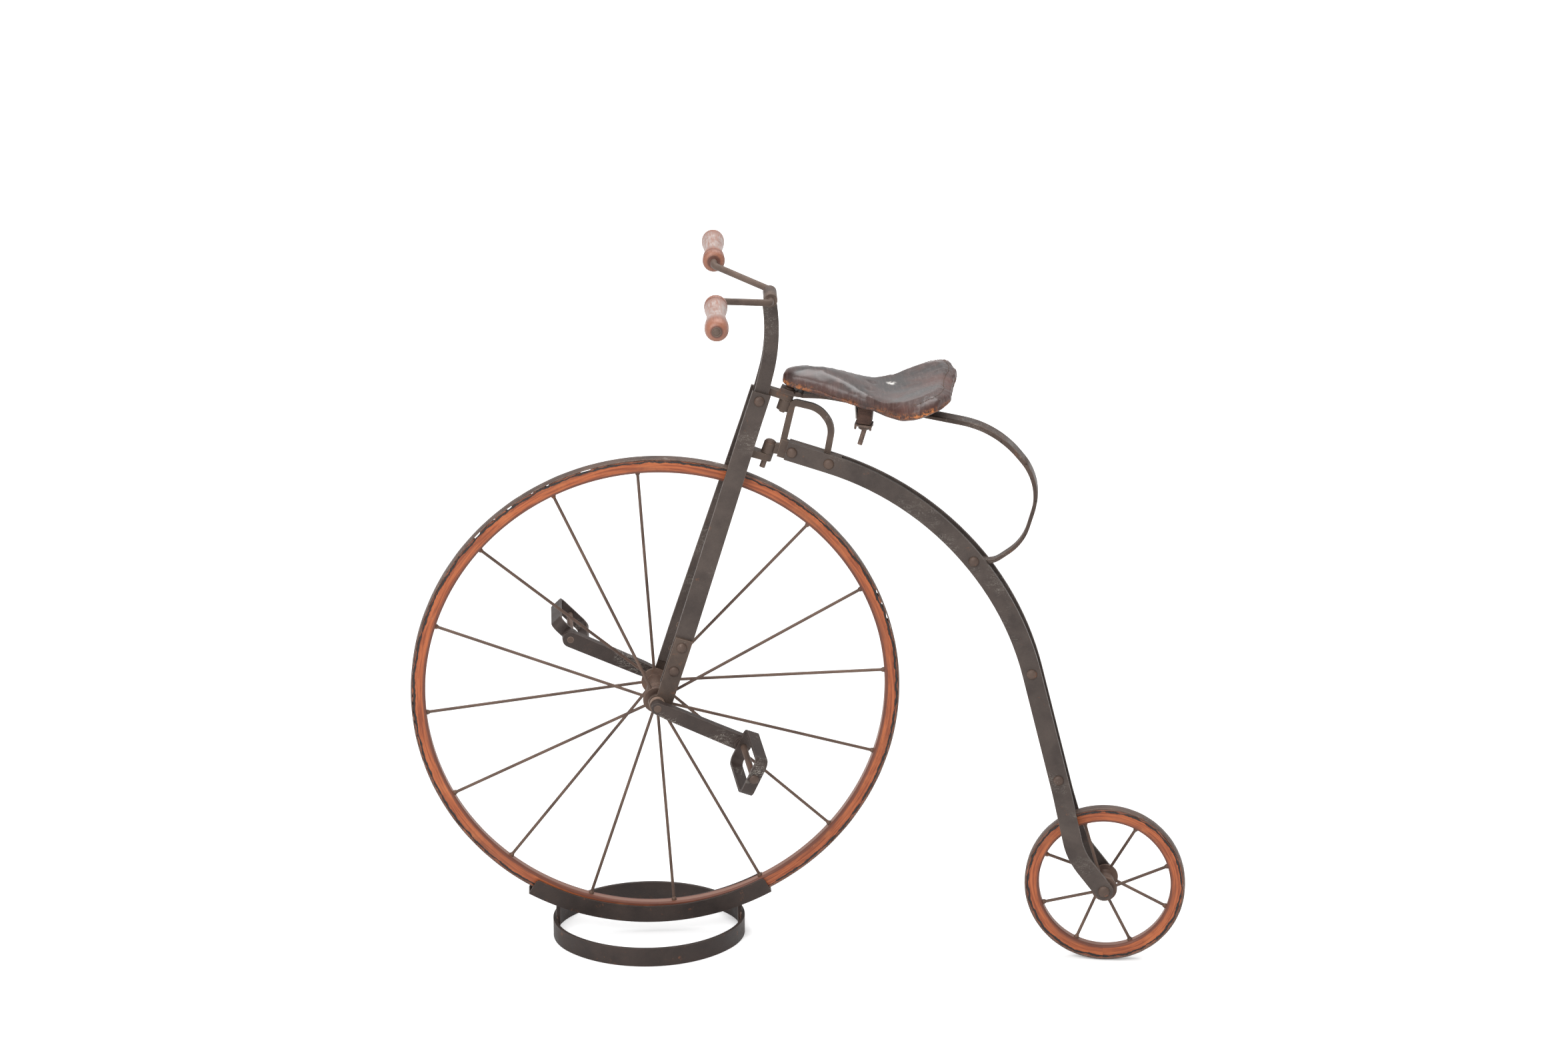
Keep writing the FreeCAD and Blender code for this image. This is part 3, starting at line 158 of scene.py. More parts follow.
class GripLooks(bpy.types.PropertyGroup):
    wood: tint("Handle", "Reddish varnish", (0.24, 0.105, 0.070))
    bare: tint("Rubbed handle", "Whitish rubbed wood", (0.36, 0.31, 0.29))
    orange: tint("End grain", "Orange wood at the ends", (0.26, 0.098, 0.052))
    groove: tint("Groove", "Dirt in the turned grooves", (0.09, 0.03, 0.018))


class StageLooks(bpy.types.PropertyGroup):
    floor_colour: tint("Floor", "Pale floor", (0.80, 0.80, 0.80))
    floor_glow: amount("Floor glow", "Light that the floor shows to the camera", 0.30, min=0.0)
    clear_from: amount("Clear from", "Distance at which the floor turns white", 1.6, unit="LENGTH")
    sky_strength: amount("Room light", "Even light from all round", 0.72, min=0.0)
    key_power: amount("Main lamp", "Large soft lamp in front", 130.0, min=0.0, unit="POWER")
    camera_place: FloatVectorProperty(name="Camera place", description="Where the camera stands",
                                      subtype="TRANSLATION", size=3, unit="LENGTH",
                                      default=(-0.3729, -5.3499, 2.4671))
    camera_pitch: amount("Camera pitch", "How far the camera looks down", 0.32115, subtype="ANGLE")
    camera_yaw: amount("Camera yaw", "How far it looks to the right", 0.06621, subtype="ANGLE")
    camera_lens: amount("Lens", "Focal length on a 36 mm sensor, in millimetres", 84.18, min=1.0)


# ---------------------------------------------------------------- materials
# cosine between the bevelled and the plain normal: on a flat, and on a sharp edge
EDGE_FLAT, EDGE_SHARP = 0.99, 0.80


class Shader:
    """A node tree in the making: adds nodes, and links or sets what it is given."""

    def __init__(self, name, kind="materials"):
        self.block = getattr(bpy.data, kind).new(name)
        self.block.use_nodes = True
        self.tree = self.block.node_tree
        self.tree.nodes.clear()
        self.place = self.add("TexCoord", output="Object")

    def add(self, kind, values=None, output=0, **settings):
        node = self.tree.nodes.new("ShaderNode" + kind)
        for name, value in settings.items():
            setattr(node, name, value)
        for key, value in (values or {}).items():
            if isinstance(value, bpy.types.NodeSocket):
                self.tree.links.new(value, node.inputs[key])
            else:
                node.inputs[key].default_value = value
        return node.outputs[output] if len(node.outputs) else node

    def math(self, operation, first, second=0.0, clamp=False):
        return self.add("Math", {0: first, 1: second}, operation=operation, use_clamp=clamp)

    def plus(self, first, second):
        return self.math("ADD", first, second)

    def minus(self, first, second, clamp=False):
        return self.math("SUBTRACT", first, second, clamp)

    def times(self, first, second):
        return self.math("MULTIPLY", first, second)

    def noise(self, scale, detail=4.0, rough=0.6, stretch=None, shift=0.0, warp=0.0):
        where = self.place
        if stretch or shift:
            where = self.add("Mapping", {"Vector": where, "Location": (shift, shift * 0.7, -shift),
                                         "Scale": stretch or (1, 1, 1)})
        return self.add("TexNoise", {"Vector": where, "Scale": scale, "Detail": detail, "Roughness": rough,
                                     "Distortion": warp})

    def span(self, value, low, high, first=0.0, last=1.0):
        """value from low to high, spread over first to last and held there."""
        return self.add("MapRange", {"Value": value, "From Min": low, "From Max": high, "To Min": first,
                                     "To Max": last})

    def mix(self, share, *colours):
        """The second colour over the first, by a share."""
        under, over = (colour if isinstance(colour, bpy.types.NodeSocket) else (*colour, 1.0)
                       for colour in colours)
        return self.add("Mix", {0: share, 6: under, 7: over}, output=2, data_type="RGBA")

    def over(self, under, colour, value, low, high, first=0.0, last=1.0):
        """A colour laid over another as a value passes from low to high."""
        return self.mix(self.span(value, low, high, first, last), under, colour)

    def attribute(self, name):
        return self.add("Attribute", output="Fac", attribute_name=name)

    def edge(self, width):
        """1 on edges and corners narrower than width, 0 on flats."""
        rounded = self.add("Bevel", {"Radius": width}, samples=8)
        flat = self.add("NewGeometry", output="Normal")
        same = self.add("VectorMath", {0: rounded, 1: flat}, output="Value", operation="DOT_PRODUCT")
        return self.span(same, EDGE_FLAT, EDGE_SHARP)

    def close(self, surface, kind="Material"):
        self.add("Output" + kind, {"Surface": surface})
        return self.block

    def finish(self, colour, roughness, height, depth, metallic=0.0, rounding=0.0, **sockets):
        values = {"Base Color": colour, "Roughness": roughness, "Metallic": metallic,
                  **{name.replace("_", " "): value for name, value in sockets.items()}}
        relief = {"Height": height, "Distance": depth, "Strength": 1.0}
        if rounding:
            relief["Normal"] = self.add("Bevel", {"Radius": rounding}, samples=6)
        values["Normal"] = self.add("Bump", relief)
        return self.close(self.add("BsdfPrincipled", values))


def toned(colour, tone):
    return tuple(min(1.0, part * factor) for part, factor in zip(colour, tone))


# tone, share of rust, share of pale film, wear and painted highlight of the edges, scratches
IRON = {
    "Bar iron": ((1.0, 1.0, 1.0), 0.16, 0.0, 0.75, 0.35),
    "Bracket iron": ((1.25, 1.14, 1.02), 0.28, 0.03, 0.8, 0.0),
    "Crank iron": ((0.72, 0.68, 0.68), 0.16, 0.06, 0.95, 1.0),
    "Bolt iron": ((1.7, 1.5, 1.35), 0.30, 0.10, 0.8, 0.2),
    "Spoke iron": ((1.75, 1.45, 1.25), 0.20, 0.0, 0.5, 0.0),
    "Stand iron": ((0.56, 0.49, 0.47), 0.26, 0.0, 0.75, 0.0),
    "Rod iron": ((1.7, 1.55, 1.42), 0.12, 0.02, 0.7, 0.0),
    "Strap iron": ((1.55, 1.36, 1.27), 0.24, 0.06, 1.0, 0.5),
    "Spoke end iron": ((1.9, 1.5, 1.25), 0.4, 0.0, 0.4, 0.0),
    "Bush iron": ((2.6, 2.3, 2.05), 0.15, 0.2, 0.6, 0.0),
    "Rivet iron": ((1.5, 1.3, 1.15), 0.3, 0.05, 0.7, 0.0),
    "Leaf iron": ((1.0, 0.88, 0.80), 0.26, 0.02, 1.0, 0.5),
    "Clamp iron": ((1.5, 1.35, 1.25), 0.3, 0.1, 0.8, 0.0),
    "Weld iron": ((0.9, 0.85, 0.85), 0.4, 0.1, 0.9, 0.0),
}


def forged_iron(name, looks):
    """Flat bar with an old dark finish: blotches, fine pits, rust spots, pale scrapes, and rubbed edges that
    also stand in for a painted highlight along every edge.
    """
    tone, rust_share, pale_share, edge_wear_and_highlight, scratches = IRON[name]
    dark, light = toned(looks.dark, tone), toned(looks.light, tone)
    s = Shader(name)
    blotch = s.noise(26, 5, 0.6)
    cloud = s.noise(9, 4, 0.65, shift=4.4, warp=0.6)
    pits = s.noise(330, 4, 0.75, shift=3.1)
    colour = s.over(dark, light, blotch, 0.35, 0.68)
    colour = s.over(colour, toned(light, (1.35, 1.35, 1.35)), cloud, 0.45, 0.70, 0.0, 0.55)
    colour = s.over(colour, dark, pits, 0.55, 0.75, 0.0, 0.5)
    rust_from = 0.70 - rust_share * 0.4
    spots = s.noise(60, 8, 0.74, shift=7.7)
    colour = s.over(colour, looks.rust, spots, rust_from, rust_from + 0.12, 0.0, 0.8)
    colour = s.over(colour, looks.pale, s.noise(210, 6, 0.8, shift=2.2), 0.69, 0.78, 0.0, 0.5)
    if pale_share:
        film_from = 0.62 - pale_share * 0.3
        film = s.noise(34, 9, 0.7, shift=1.9)
        colour = s.over(colour, looks.pale, film, film_from, film_from + 0.18, 0.0, 0.75)
    if scratches:
        line = s.noise(46, 3, 0.8, (1.0, 1.0, 3.4), 6.1, 2.2)
        thin = s.span(s.math("ABSOLUTE", s.minus(line, 0.56)), 0.0, 0.012, scratches, 0.0)
        patch = s.span(s.noise(14, 3, 0.5, shift=8.8), 0.54, 0.62)
        colour = s.mix(s.times(thin, patch), colour, looks.scratch)
    # partly painted highlight: the bright worn colour on every edge stands for bare worn iron and for the
    # highlight that edges catch
    worn_part = s.span(s.noise(90, 5, 0.7, shift=5.0), 0.35, 0.6, 0.1, edge_wear_and_highlight)
    colour = s.mix(s.times(s.edge(looks.edge_width), worn_part), colour, toned(looks.worn, tone))
    rough = s.span(blotch, 0.3, 0.7, 0.48, 0.66)
    return s.finish(colour, rough, s.plus(pits, s.times(blotch, 2.0)), 0.0003, metallic=0.35, rounding=0.0006)


def split_wood(name, looks):
    """Old bare wood along a rim: streaks, lighter patches that are partly a painted highlight, painted shade
    on its rounded inner edge and in the recess beside the tyre, and a jagged crack beside the tyre.
    """
    s = Shader(name)
    s.place = s.add("UVMap", uv_map="grain")
    deep = s.attribute("deep")
    streaks = s.noise(1.0, 6, 0.62, (15, 330, 1), warp=0.3)
    colour = s.over(looks.light, toned(looks.light, (0.52, 0.42, 0.38)), streaks, 0.44, 0.60)
    colour = s.over(colour, looks.dark, s.noise(1.0, 4, 0.6, (6, 90, 1), 3.0), 0.50, 0.70, 0.0, 0.9)
    # lighter orange patches: partly the wood's own tone, partly a painted highlight
    bright = toned(looks.light, (1.35, 1.75, 2.1))
    colour = s.over(colour, bright, s.noise(17, 4, 0.6, shift=9.0), 0.55, 0.75, 0.0, 0.5)
    colour = s.over(colour, looks.dark, s.noise(110, 5, 0.8, (1, 2.6, 1), 5.0), 0.60, 0.68, 0.0, 0.85)
    colour = s.over(colour, looks.fresh, s.noise(95, 4, 0.8, (1, 1.7, 1), 12.0), 0.68, 0.74, 0.0, 0.7)
    # painted shade: the rounded inner edge is darkened with the edge colour
    inner = s.minus(deep, s.times(s.noise(60, 4, 0.6), 0.0022))
    colour = s.over(colour, looks.edge, inner, 0.0142, 0.0162, 0.0, 0.85)
    # the crack wanders at a small depth under the tyre, and its width comes and goes
    wander = s.span(s.noise(1.0, 3, 0.6, (34, 0.01, 1), 20.0), 0.30, 0.70, 0.0008, 0.0042)
    jag = s.times(s.noise(1.0, 4, 0.7, (330, 0.01, 1), 31.0), 0.0012)
    away = s.minus(deep, s.plus(wander, jag))
    width = s.span(s.noise(1.0, 2, 0.5, (60, 0.01, 1), 44.0), 0.34, 0.58, 0.0006, 0.0021)
    crack = s.minus(1.0, s.math("DIVIDE", s.math("ABSOLUTE", away), width), clamp=True)
    crack = s.span(crack, 0.0, 0.45)
    # painted shade: the recessed wood between the crack and the tyre is coloured dark, with orange slivers
    # left between
    slivers = s.span(s.noise(1.0, 5, 0.7, (90, 700, 1), 15.0), 0.60, 0.44, 0.05, 0.9)
    outer = s.span(away, 0.0, -0.0004)
    colour = s.mix(s.times(outer, slivers), colour, looks.strip)
    colour = s.mix(crack, colour, looks.crack)
    colour = s.mix(s.times(s.attribute("face"), 0.6), colour, looks.inner)
    height = s.minus(s.times(s.span(streaks, 0.35, 0.75), 0.35), s.times(crack, 3.0))
    height = s.minus(height, s.times(outer, 0.7))
    return s.finish(colour, s.span(streaks, 0.3, 0.7, 0.42, 0.60), height, 0.0005)


def old_leather(name, looks):
    """Blackened leather: brown where it rubs, brushed across the rear, orange along its sewn edge."""
    s = Shader(name)
    broad = s.noise(15, 4, 0.6)
    pores = s.noise(420, 3, 0.7, shift=2.0)
    brushed = s.noise(1.0, 5, 0.65, (330, 40, 60), 1.0)
    side = s.attribute("side")
    colour = s.over(looks.dark, looks.red, broad, 0.40, 0.66)
    browned = s.span(s.noise(30, 4, 0.6, shift=6.0), 0.35, 0.6, 0.25, 0.8)
    colour = s.mix(s.times(side, browned), colour, toned(looks.red, (1.0, 0.85, 0.8)))
    colour = s.over(colour, looks.brushed, brushed, 0.50, 0.70, 0.0, 0.32)
    colour = s.over(colour, looks.pore, pores, 0.60, 0.74, 0.0, 0.4)
    bare = s.times(s.attribute("rubbed"), s.span(s.noise(150, 7, 0.75, shift=9.0), 0.47, 0.56))
    colour = s.mix(bare, colour, looks.worn)
    nick = s.times(s.attribute("nick"), s.span(s.noise(260, 4, 0.7, shift=3.0), 0.44, 0.50))
    colour = s.mix(nick, colour, looks.pale)
    rough = s.plus(s.span(broad, 0.3, 0.7, 0.26, 0.40), s.times(bare, 0.3))
    rough = s.plus(rough, s.span(side, 0.0, 0.7, 0.0, 0.22))
    height = s.plus(s.times(brushed, 0.8), pores)
    height = s.plus(height, s.times(s.noise(55, 3, 0.5, shift=4.0), 2.0))
    gloss = s.span(side, 0.0, 0.6, 0.40, 0.03)
    return s.finish(colour, rough, height, 0.00018, Coat_Weight=gloss, Coat_Roughness=0.24)


def rubbed_handle(name, looks):
    """Turned handle: reddish varnish rubbed whitish round its waist, orange at the ends."""
    s = Shader(name)
    along = s.attribute("along")
    streaks = s.noise(1.0, 5, 0.65, (420, 30, 420), 1.0)
    patches = s.noise(48, 5, 0.65, shift=5.0)
    colour = s.over(looks.wood, toned(looks.wood, (0.62, 0.5, 0.5)), streaks, 0.40, 0.70)
    waist = s.times(s.span(along, 0.14, 0.30), s.span(along, 0.88, 0.70))
    worn = s.times(s.times(waist, s.span(streaks, 0.34, 0.56)), s.span(patches, 0.34, 0.56, 0.25, 0.95))
    colour = s.mix(worn, colour, looks.bare)
    ends = s.math("MAXIMUM", s.span(along, 0.03, 0.0), s.span(along, 0.86, 1.0))
    colour = s.mix(s.times(ends, s.span(patches, 0.36, 0.62, 0.4, 1.0)), colour, looks.orange)
    flecks = s.noise(190, 6, 0.8, shift=8.0)
    colour = s.over(colour, toned(looks.bare, (0.95, 0.9, 0.85)), flecks, 0.62, 0.72, 0.0, 0.7)
    colour = s.mix(s.attribute("groove"), colour, looks.groove)
    return s.finish(colour, s.span(worn, 0, 1, 0.36, 0.6), s.plus(streaks, flecks), 0.0004)


def plain_noise(name, first, second, scale, stretch=None, rough=0.7, depth=0.0004, metallic=0.0):
    """Two tones of one stuff, mottled, with a little relief."""
    s = Shader(name)
    grain = s.noise(scale, 6, 0.7, stretch)
    fine = s.noise(scale * 6, 4, 0.7, stretch, 3.0)
    colour = s.over(first, second, grain, 0.38, 0.62)
    colour = s.over(colour, toned(first, (0.4, 0.4, 0.4)), fine, 0.60, 0.72, 0.0, 0.5)
    return s.finish(colour, rough, s.plus(grain, fine), depth, metallic)


def paint(node_names, material):
    for name in node_names:
        NODES[name].data.materials.clear()
        NODES[name].data.materials.append(material)


# ---------------------------------------------------------------- meshes
def shaded(mesh, angle, merge=None):
    """Faces outwards, shaded smooth, with edges sharper than an angle in degrees left sharp."""
    shape = bmesh.new()
    shape.from_mesh(mesh)
    if merge:
        bmesh.ops.remove_doubles(shape, verts=shape.verts, dist=merge)
    bmesh.ops.recalc_face_normals(shape, faces=shape.faces)
    for face in shape.faces:
        face.smooth = True
    for edge in shape.edges:
        edge.smooth = len(edge.link_faces) == 2 and edge.calc_face_angle() < math.radians(angle)
    shape.to_mesh(mesh)
    shape.free()
    return mesh


def note(mesh, key, values):
    """A number on each point, which the materials read."""
    mesh.attributes.new(key, "FLOAT", "POINT").data.foreach_set("value", values)


class Form:
    """Points and faces of one piece, built from turned, swept and plated shapes."""

    def __init__(self):
        self.points = []
        self.faces = []

    def rings(self, rings, closed=False):
        """Skin over rings of the same number of points, capped unless the last meets the first."""
        start = len(self.points)
        count = len(rings[0])
        for ring in rings:
            self.points += [Vector(point) for point in ring]
        for index in range(len(rings) if closed else len(rings) - 1):
            here = start + index * count
            there = start + ((index + 1) % len(rings)) * count
            for k in range(count):
                after = (k + 1) % count
                self.faces.append((here + k, here + after, there + after, there + k))
        if not closed:
            self.faces.append(tuple(start + k for k in reversed(range(count))))
            self.faces.append(tuple(start + (len(rings) - 1) * count + k for k in range(count)))
        return self

    def turned(self, profile, place, steps=40):
        """Body of revolution about local Z from (radius, height) rows."""
        rings = []
        for radius, height in profile:
            rings.append([place @ Vector((radius * math.cos(t), radius * math.sin(t), height))
                          for t in (2 * math.pi * k / steps for k in range(steps))])
        return self.rings(rings)

    def plate(self, outline, low, high, place):
        """Flat plate from an outline in local X and Y, between two heights, all in millimetres."""
        return self.rings([[place @ (Vector((x, y, z)) * MM) for x, y in outline] for z in (low, high)])

    def block(self, size, middle, place, edge):
        """Block about a local point, its edges bevelled, all in millimetres."""
        x, y, z = [part / 2 * MM for part in size]
        edge *= MM
        outline = [(x - edge, -y), (x, -y + edge), (x, y - edge), (x - edge, y), (-x + edge, y),
                   (-x, y - edge), (-x, -y + edge), (-x + edge, -y)]
        inner = [(a * (x - edge) / x, b * (y - edge) / y) for a, b in outline]
        rows = [(inner, -z), (outline, -z + edge), (outline, z - edge), (inner, z)]
        place = place @ Matrix.Translation(Vector(middle) * MM)
        return self.rings([[place @ Vector((a, b, h)) for a, b in ring] for ring, h in rows])

    def mesh(self, name, smooth=30.0):
        mesh = bpy.data.meshes.new(name)
        mesh.from_pydata(self.points, [], self.faces)
        return shaded(mesh, smooth, 1e-6)


def show(name, mesh, material, body, hides=()):
    """A finished piece that rides on its body."""
    thing = bpy.data.objects.new(name, mesh)
    bpy.context.scene.collection.objects.link(thing)
    mesh.materials.clear()
    mesh.materials.append(material)
    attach(thing, body)
    if hides:
        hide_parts(*hides)
    return thing


def facing(point, way):
    """Space whose Z looks along a direction."""
    return Matrix.Translation(point) @ Vector(way).to_track_quat("Z", "Y").to_matrix().to_4x4()


def evaluated(thing, name):
    """Plain mesh of an object with its modifiers worked in."""
    bpy.context.view_layer.update()
    graph = bpy.context.evaluated_depsgraph_get()
    mesh = bpy.data.meshes.new_from_object(thing.evaluated_get(graph))
    mesh.name = name
    return mesh


# ---------------------------------------------------------------- beads: rivet heads, stitches and lumps
BEADS = "Beads on points"
# what each point of a bead's row carries: attribute, kind, column of the row
CARRIED = (("aim", "FLOAT_VECTOR", 1), ("wide", "FLOAT", 2), ("tall", "FLOAT", 3))
# nodes of the tree: name, type
BEAD_NODES = (
    ("given", "NodeGroupInput"), ("ball", "GeometryNodeMeshUVSphere"),
    ("aim", "GeometryNodeInputNamedAttribute"), ("wide", "GeometryNodeInputNamedAttribute"),
    ("tall", "GeometryNodeInputNamedAttribute"), ("turn", "FunctionNodeAlignRotationToVector"),
    ("scale", "ShaderNodeCombineXYZ"), ("spread", "GeometryNodeInstanceOnPoints"),
    ("real", "GeometryNodeRealizeInstances"), ("soft", "GeometryNodeSetShadeSmooth"),
    ("dress", "GeometryNodeSetMaterial"), ("out", "NodeGroupOutput"),
)
# links of the tree: node, its output, next node, its input
BEAD_LINKS = (
    ("given", "Segments", "ball", "Segments"), ("given", "Rings", "ball", "Rings"),
    ("aim", "Attribute", "turn", "Vector"), ("wide", "Attribute", "scale", "X"),
    ("wide", "Attribute", "scale", "Y"), ("tall", "Attribute", "scale", "Z"),
    ("given", "Points", "spread", "Points"), ("ball", "Mesh", "spread", "Instance"),
    ("turn", "Rotation", "spread", "Rotation"), ("scale", "Vector", "spread", "Scale"),
    ("spread", "Instances", "real", "Geometry"), ("real", "Geometry", "soft", "Geometry"),
    ("soft", "Geometry", "dress", "Geometry"), ("given", "Material", "dress", "Material"),
    ("dress", "Geometry", "out", "Beads"),
)


def bead_tree():
    """Round beads on points: each point carries its direction, its radius and its height."""
    tree = bpy.data.node_groups.new(BEADS, "GeometryNodeTree")
    for name, way, kind in (("Points", "INPUT", "Geometry"), ("Segments", "INPUT", "Int"),
                            ("Rings", "INPUT", "Int"), ("Material", "INPUT", "Material"),
                            ("Beads", "OUTPUT", "Geometry")):
        tree.interface.new_socket(name=name, in_out=way, socket_type="NodeSocket" + kind)
    nodes = {name: tree.nodes.new(kind) for name, kind in BEAD_NODES}
    nodes["ball"].inputs["Radius"].default_value = 1.0
    nodes["turn"].axis = "Z"
    for name, kind, _ in CARRIED:
        nodes[name].data_type = kind
        nodes[name].inputs["Name"].default_value = name
    for first, output, last, given in BEAD_LINKS:
        tree.links.new(nodes[first].outputs[output], nodes[last].inputs[given])
    return tree


def beads(name, rows, material, body, segments, rings):
    """Beads from rows of (point, direction, radius, height)."""
    tree = bpy.data.node_groups.get(BEADS) or bead_tree()
    mesh = bpy.data.meshes.new(name + " points")
    mesh.from_pydata([row[0] for row in rows], [], [])
    for key, kind, column in CARRIED:
        vectors = kind == "FLOAT_VECTOR"
        flat = [part for row in rows for part in (row[column] if vectors else (row[column],))]
        mesh.attributes.new(key, kind, "POINT").data.foreach_set("vector" if vectors else "value", flat)
    holder = bpy.data.objects.new(name + " points", mesh)
    bpy.context.scene.collection.objects.link(holder)
    modifier = holder.modifiers.new("Beads", "NODES")
    modifier.node_group = tree
    names = {item.name: item.identifier for item in tree.interface.items_tree if item.in_out == "INPUT"}
    for key, value in (("Segments", segments), ("Rings", rings), ("Material", material)):
        modifier[names[key]] = value
    done = evaluated(holder, name)
    bpy.data.objects.remove(holder)
    return show(name, done, material, body)


# ---------------------------------------------------------------- iron
# finish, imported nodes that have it
PAINTED = (
    ("Bar iron", ("fork_blade_left", "fork_blade_right", "neck_bar_left", "neck_bar_right", "backbone_left",
                  "backbone_right")),
    ("Bracket iron", ("head_bracket", "lower_lug", "upper_lug", "dropout_left", "dropout_right")),
    ("Crank iron", ("crank_left", "crank_right", "pedal_left", "pedal_right")),
    ("Bolt iron", ("lower_pivot_bolt", "upper_pivot_bolt", "crown_rivet", "spring_rivet", "middle_rivet",
                   "lower_rivet", "bracket_bolt_front", "bracket_bolt_rear", "rear_axle", "pedal_pin_left",
                   "pedal_pin_right", "front_axle")),
    ("Spoke iron", ("front_hub", "rear_hub")),
    ("Stand iron", ("stand_ring", "stand_trough", "stand_post_front", "stand_post_rear")),
)


class HIGHWHEEL_OT_iron(bpy.types.Operator):
    """Give the forged bars, cranks, pedals, hubs and the stand their worn iron finishes"""
    bl_idname = "highwheel.iron"
    bl_label = "Iron"

    def execute(self, context):
        for name, nodes in PAINTED:
            paint(nodes, forged_iron(name, context.scene.highwheel_iron))
        return {"FINISHED"}


# ---------------------------------------------------------------- wooden rims
RIM_DEPTH = 18 * MM
SPOKE_NUT_DEPTH = 18.4 * MM
RIM_CREASE, TYRE_CREASE = 38, 40    # degrees
TYRE_STEPS = 480
# open slits under the tyre: degrees from the rear over the top to the front, length in degrees, gap in mm
FRONT_SLITS = ((136, 2.6, 2.0), (130.5, 1.0, 1.2), (126, 2.2, 1.9), (119.5, 1.1, 1.3), (115.5, 1.5, 1.6),
               (106, 3.0, 1.5), (17.5, 1.8, 1.3), (21, 1.4, 1.4), (24.2, 1.6, 1.2), (179.5, 0.8, 1.4),
               (181.4, 0.7, 1.6), (183.6, 1.0, 1.3), (186.0, 0.8, 1.4), (214, 2.0, 1.0))
REAR_SLITS = ((38, 9.0, 0.35), (52, 5.0, 0.35), (66, 4.0, 0.3), (224, 14.0, 0.35))
# wheel, its space, slits, thickness of the strap tyre in mm, seed of the wear
WHEELS = (("front", FRONT_WHEEL, FRONT_SLITS, 2.0, 1.0), ("rear", REAR_WHEEL, REAR_SLITS, 2.6, 7.0))


def slit_gap(slits, angle):
    """Open gap under the tyre at an angle in degrees, in metres."""
    gap = 0.0
    for middle, long, deep in slits:
        away = abs((angle - middle + 180) % 360 - 180) / (long / 2)
        if away < 1:
            gap = max(gap, deep * MM * math.sqrt(1 - away * away))
    return gap


def rim_section(looks, angle, inside, outside, half, slits, seed):
    """Closed section of a rim: rows of radius, place across, and whether it is the inner face."""
    place = Vector((math.cos(angle) * outside, math.sin(angle) * outside, seed))
    slow = noise.noise(place * 22)
    quick = noise.noise(place * 150 + Vector((3, 1, 7)))
    fine = noise.noise(place * 420 + Vector((1, 5, 2)))
    gap = slit_gap(slits, math.degrees(angle) % 360)
    chip = looks.chip * max(0.15, 0.55 + 0.9 * slow + 0.7 * quick + 0.35 * fine) + gap
    notch = looks.notch * max(0.3, 0.8 + slow + 0.5 * quick)
    # behind a wide slit the rim falls away to its far side, so that light shows through
    dip = gap + (2 * half * 0.36 * max(0.0, math.sin(angle)) if gap > 0.4 * MM else 0.0)
    seat = outside - 0.15 * MM
    round_edge, shoulder = 2.4 * MM, 2.5 * MM
    corner = [(round_edge * (1 - math.cos(t)), round_edge * (1 - math.sin(t)))
              for t in (0.0, math.pi / 6, math.pi / 3, math.pi / 2)]
    rows = [(inside + up, -half + side, 0.0) for side, up in corner]
    rows += [(inside, -half * 0.33, 1.0), (inside, half * 0.33, 1.0)]
    rows += [(inside + up, half - side, 0.0) for side, up in reversed(corner)]
    rows += [(outside - chip * 0.6 - dip, half, 0.0), (seat - dip, half - notch * 0.6, 0.0),
             (seat - (gap + dip) / 2, 0.0, 0.0), (seat - gap, -half + notch, 0.0),
             (outside - chip * 0.9, -half + notch * 0.9, 0.0), (outside - chip, -half, 0.0),
             (outside - chip - shoulder, -half, 0.0), ((inside + outside) / 2, -half, 0.0)]
    return rows


def rim_mesh(name, looks, place, inside, outside, half, slits, seed):
    """Rim swept round its axle; UV runs along the grain, and deep is the distance from the tyre."""
    steps = looks.steps
    points, deep, face = [], [], []
    for k in range(steps):
        angle = 2 * math.pi * k / steps - math.pi / 2
        for radius, across, inner in rim_section(looks, angle, inside, outside, half, slits, seed):
            points.append(place @ Vector((math.cos(angle) * radius, across, math.sin(angle) * radius)))
            deep.append(outside - radius)
            face.append(inner)
    plain = rim_section(looks, 0.3, inside, outside, half, (), seed)
    count = len(plain)
    run = [0.0]
    for here, there in zip(plain, plain[1:] + plain[:1]):
        run.append(run[-1] + math.hypot(here[0] - there[0], here[1] - there[1]))
    faces, chart = [], []
    step = 2 * math.pi / steps * outside
    for k in range(steps):
        here, there = k * count, (k + 1) % steps * count
        for j in range(count):
            after = (j + 1) % count
            faces.append((here + j, there + j, there + after, here + after))
            for ring, side in ((k, j), (k + 1, j), (k + 1, j + 1), (k, j + 1)):
                chart += [ring * step, run[side]]
    mesh = bpy.data.meshes.new(name)
    mesh.from_pydata(points, [], faces)
    mesh.uv_layers.new(name="grain").data.foreach_set("uv", chart)
    note(mesh, "deep", deep)
    note(mesh, "face", face)
    return shaded(mesh, RIM_CREASE)


def wheel_sizes(name, place):
    """Outside radius and half width of a packed rim."""
    points = node_points(name + "_rim", place)
    return max(math.hypot(p.x, p.z) for p in points), max(p.y for p in points)


def tyre_mesh(name, place, inside, outside, half, seed):
    """Thin hoop of strap iron, its edges battered a little by the road."""
    rings = []
    for k in range(TYRE_STEPS):
        angle = 2 * math.pi * k / TYRE_STEPS
        way = Vector((math.cos(angle), 0, math.sin(angle)))
        dent = 0.22 * MM * noise.noise(way * 14 + Vector((seed, 0, 0)))
        edge, corner = outside + dent - 0.1 * MM, outside - 0.5 * MM
        rows = ((inside, half), (inside, -half), (corner, -half), (edge, -half + 0.6 * MM), (outside, 0.0),
                (edge, half - 0.6 * MM), (corner, half))
        rings.append([place @ (way * radius + Vector((0, across, 0))) for radius, across in rows])
    return Form().rings(rings, closed=True).mesh(name, TYRE_CREASE)


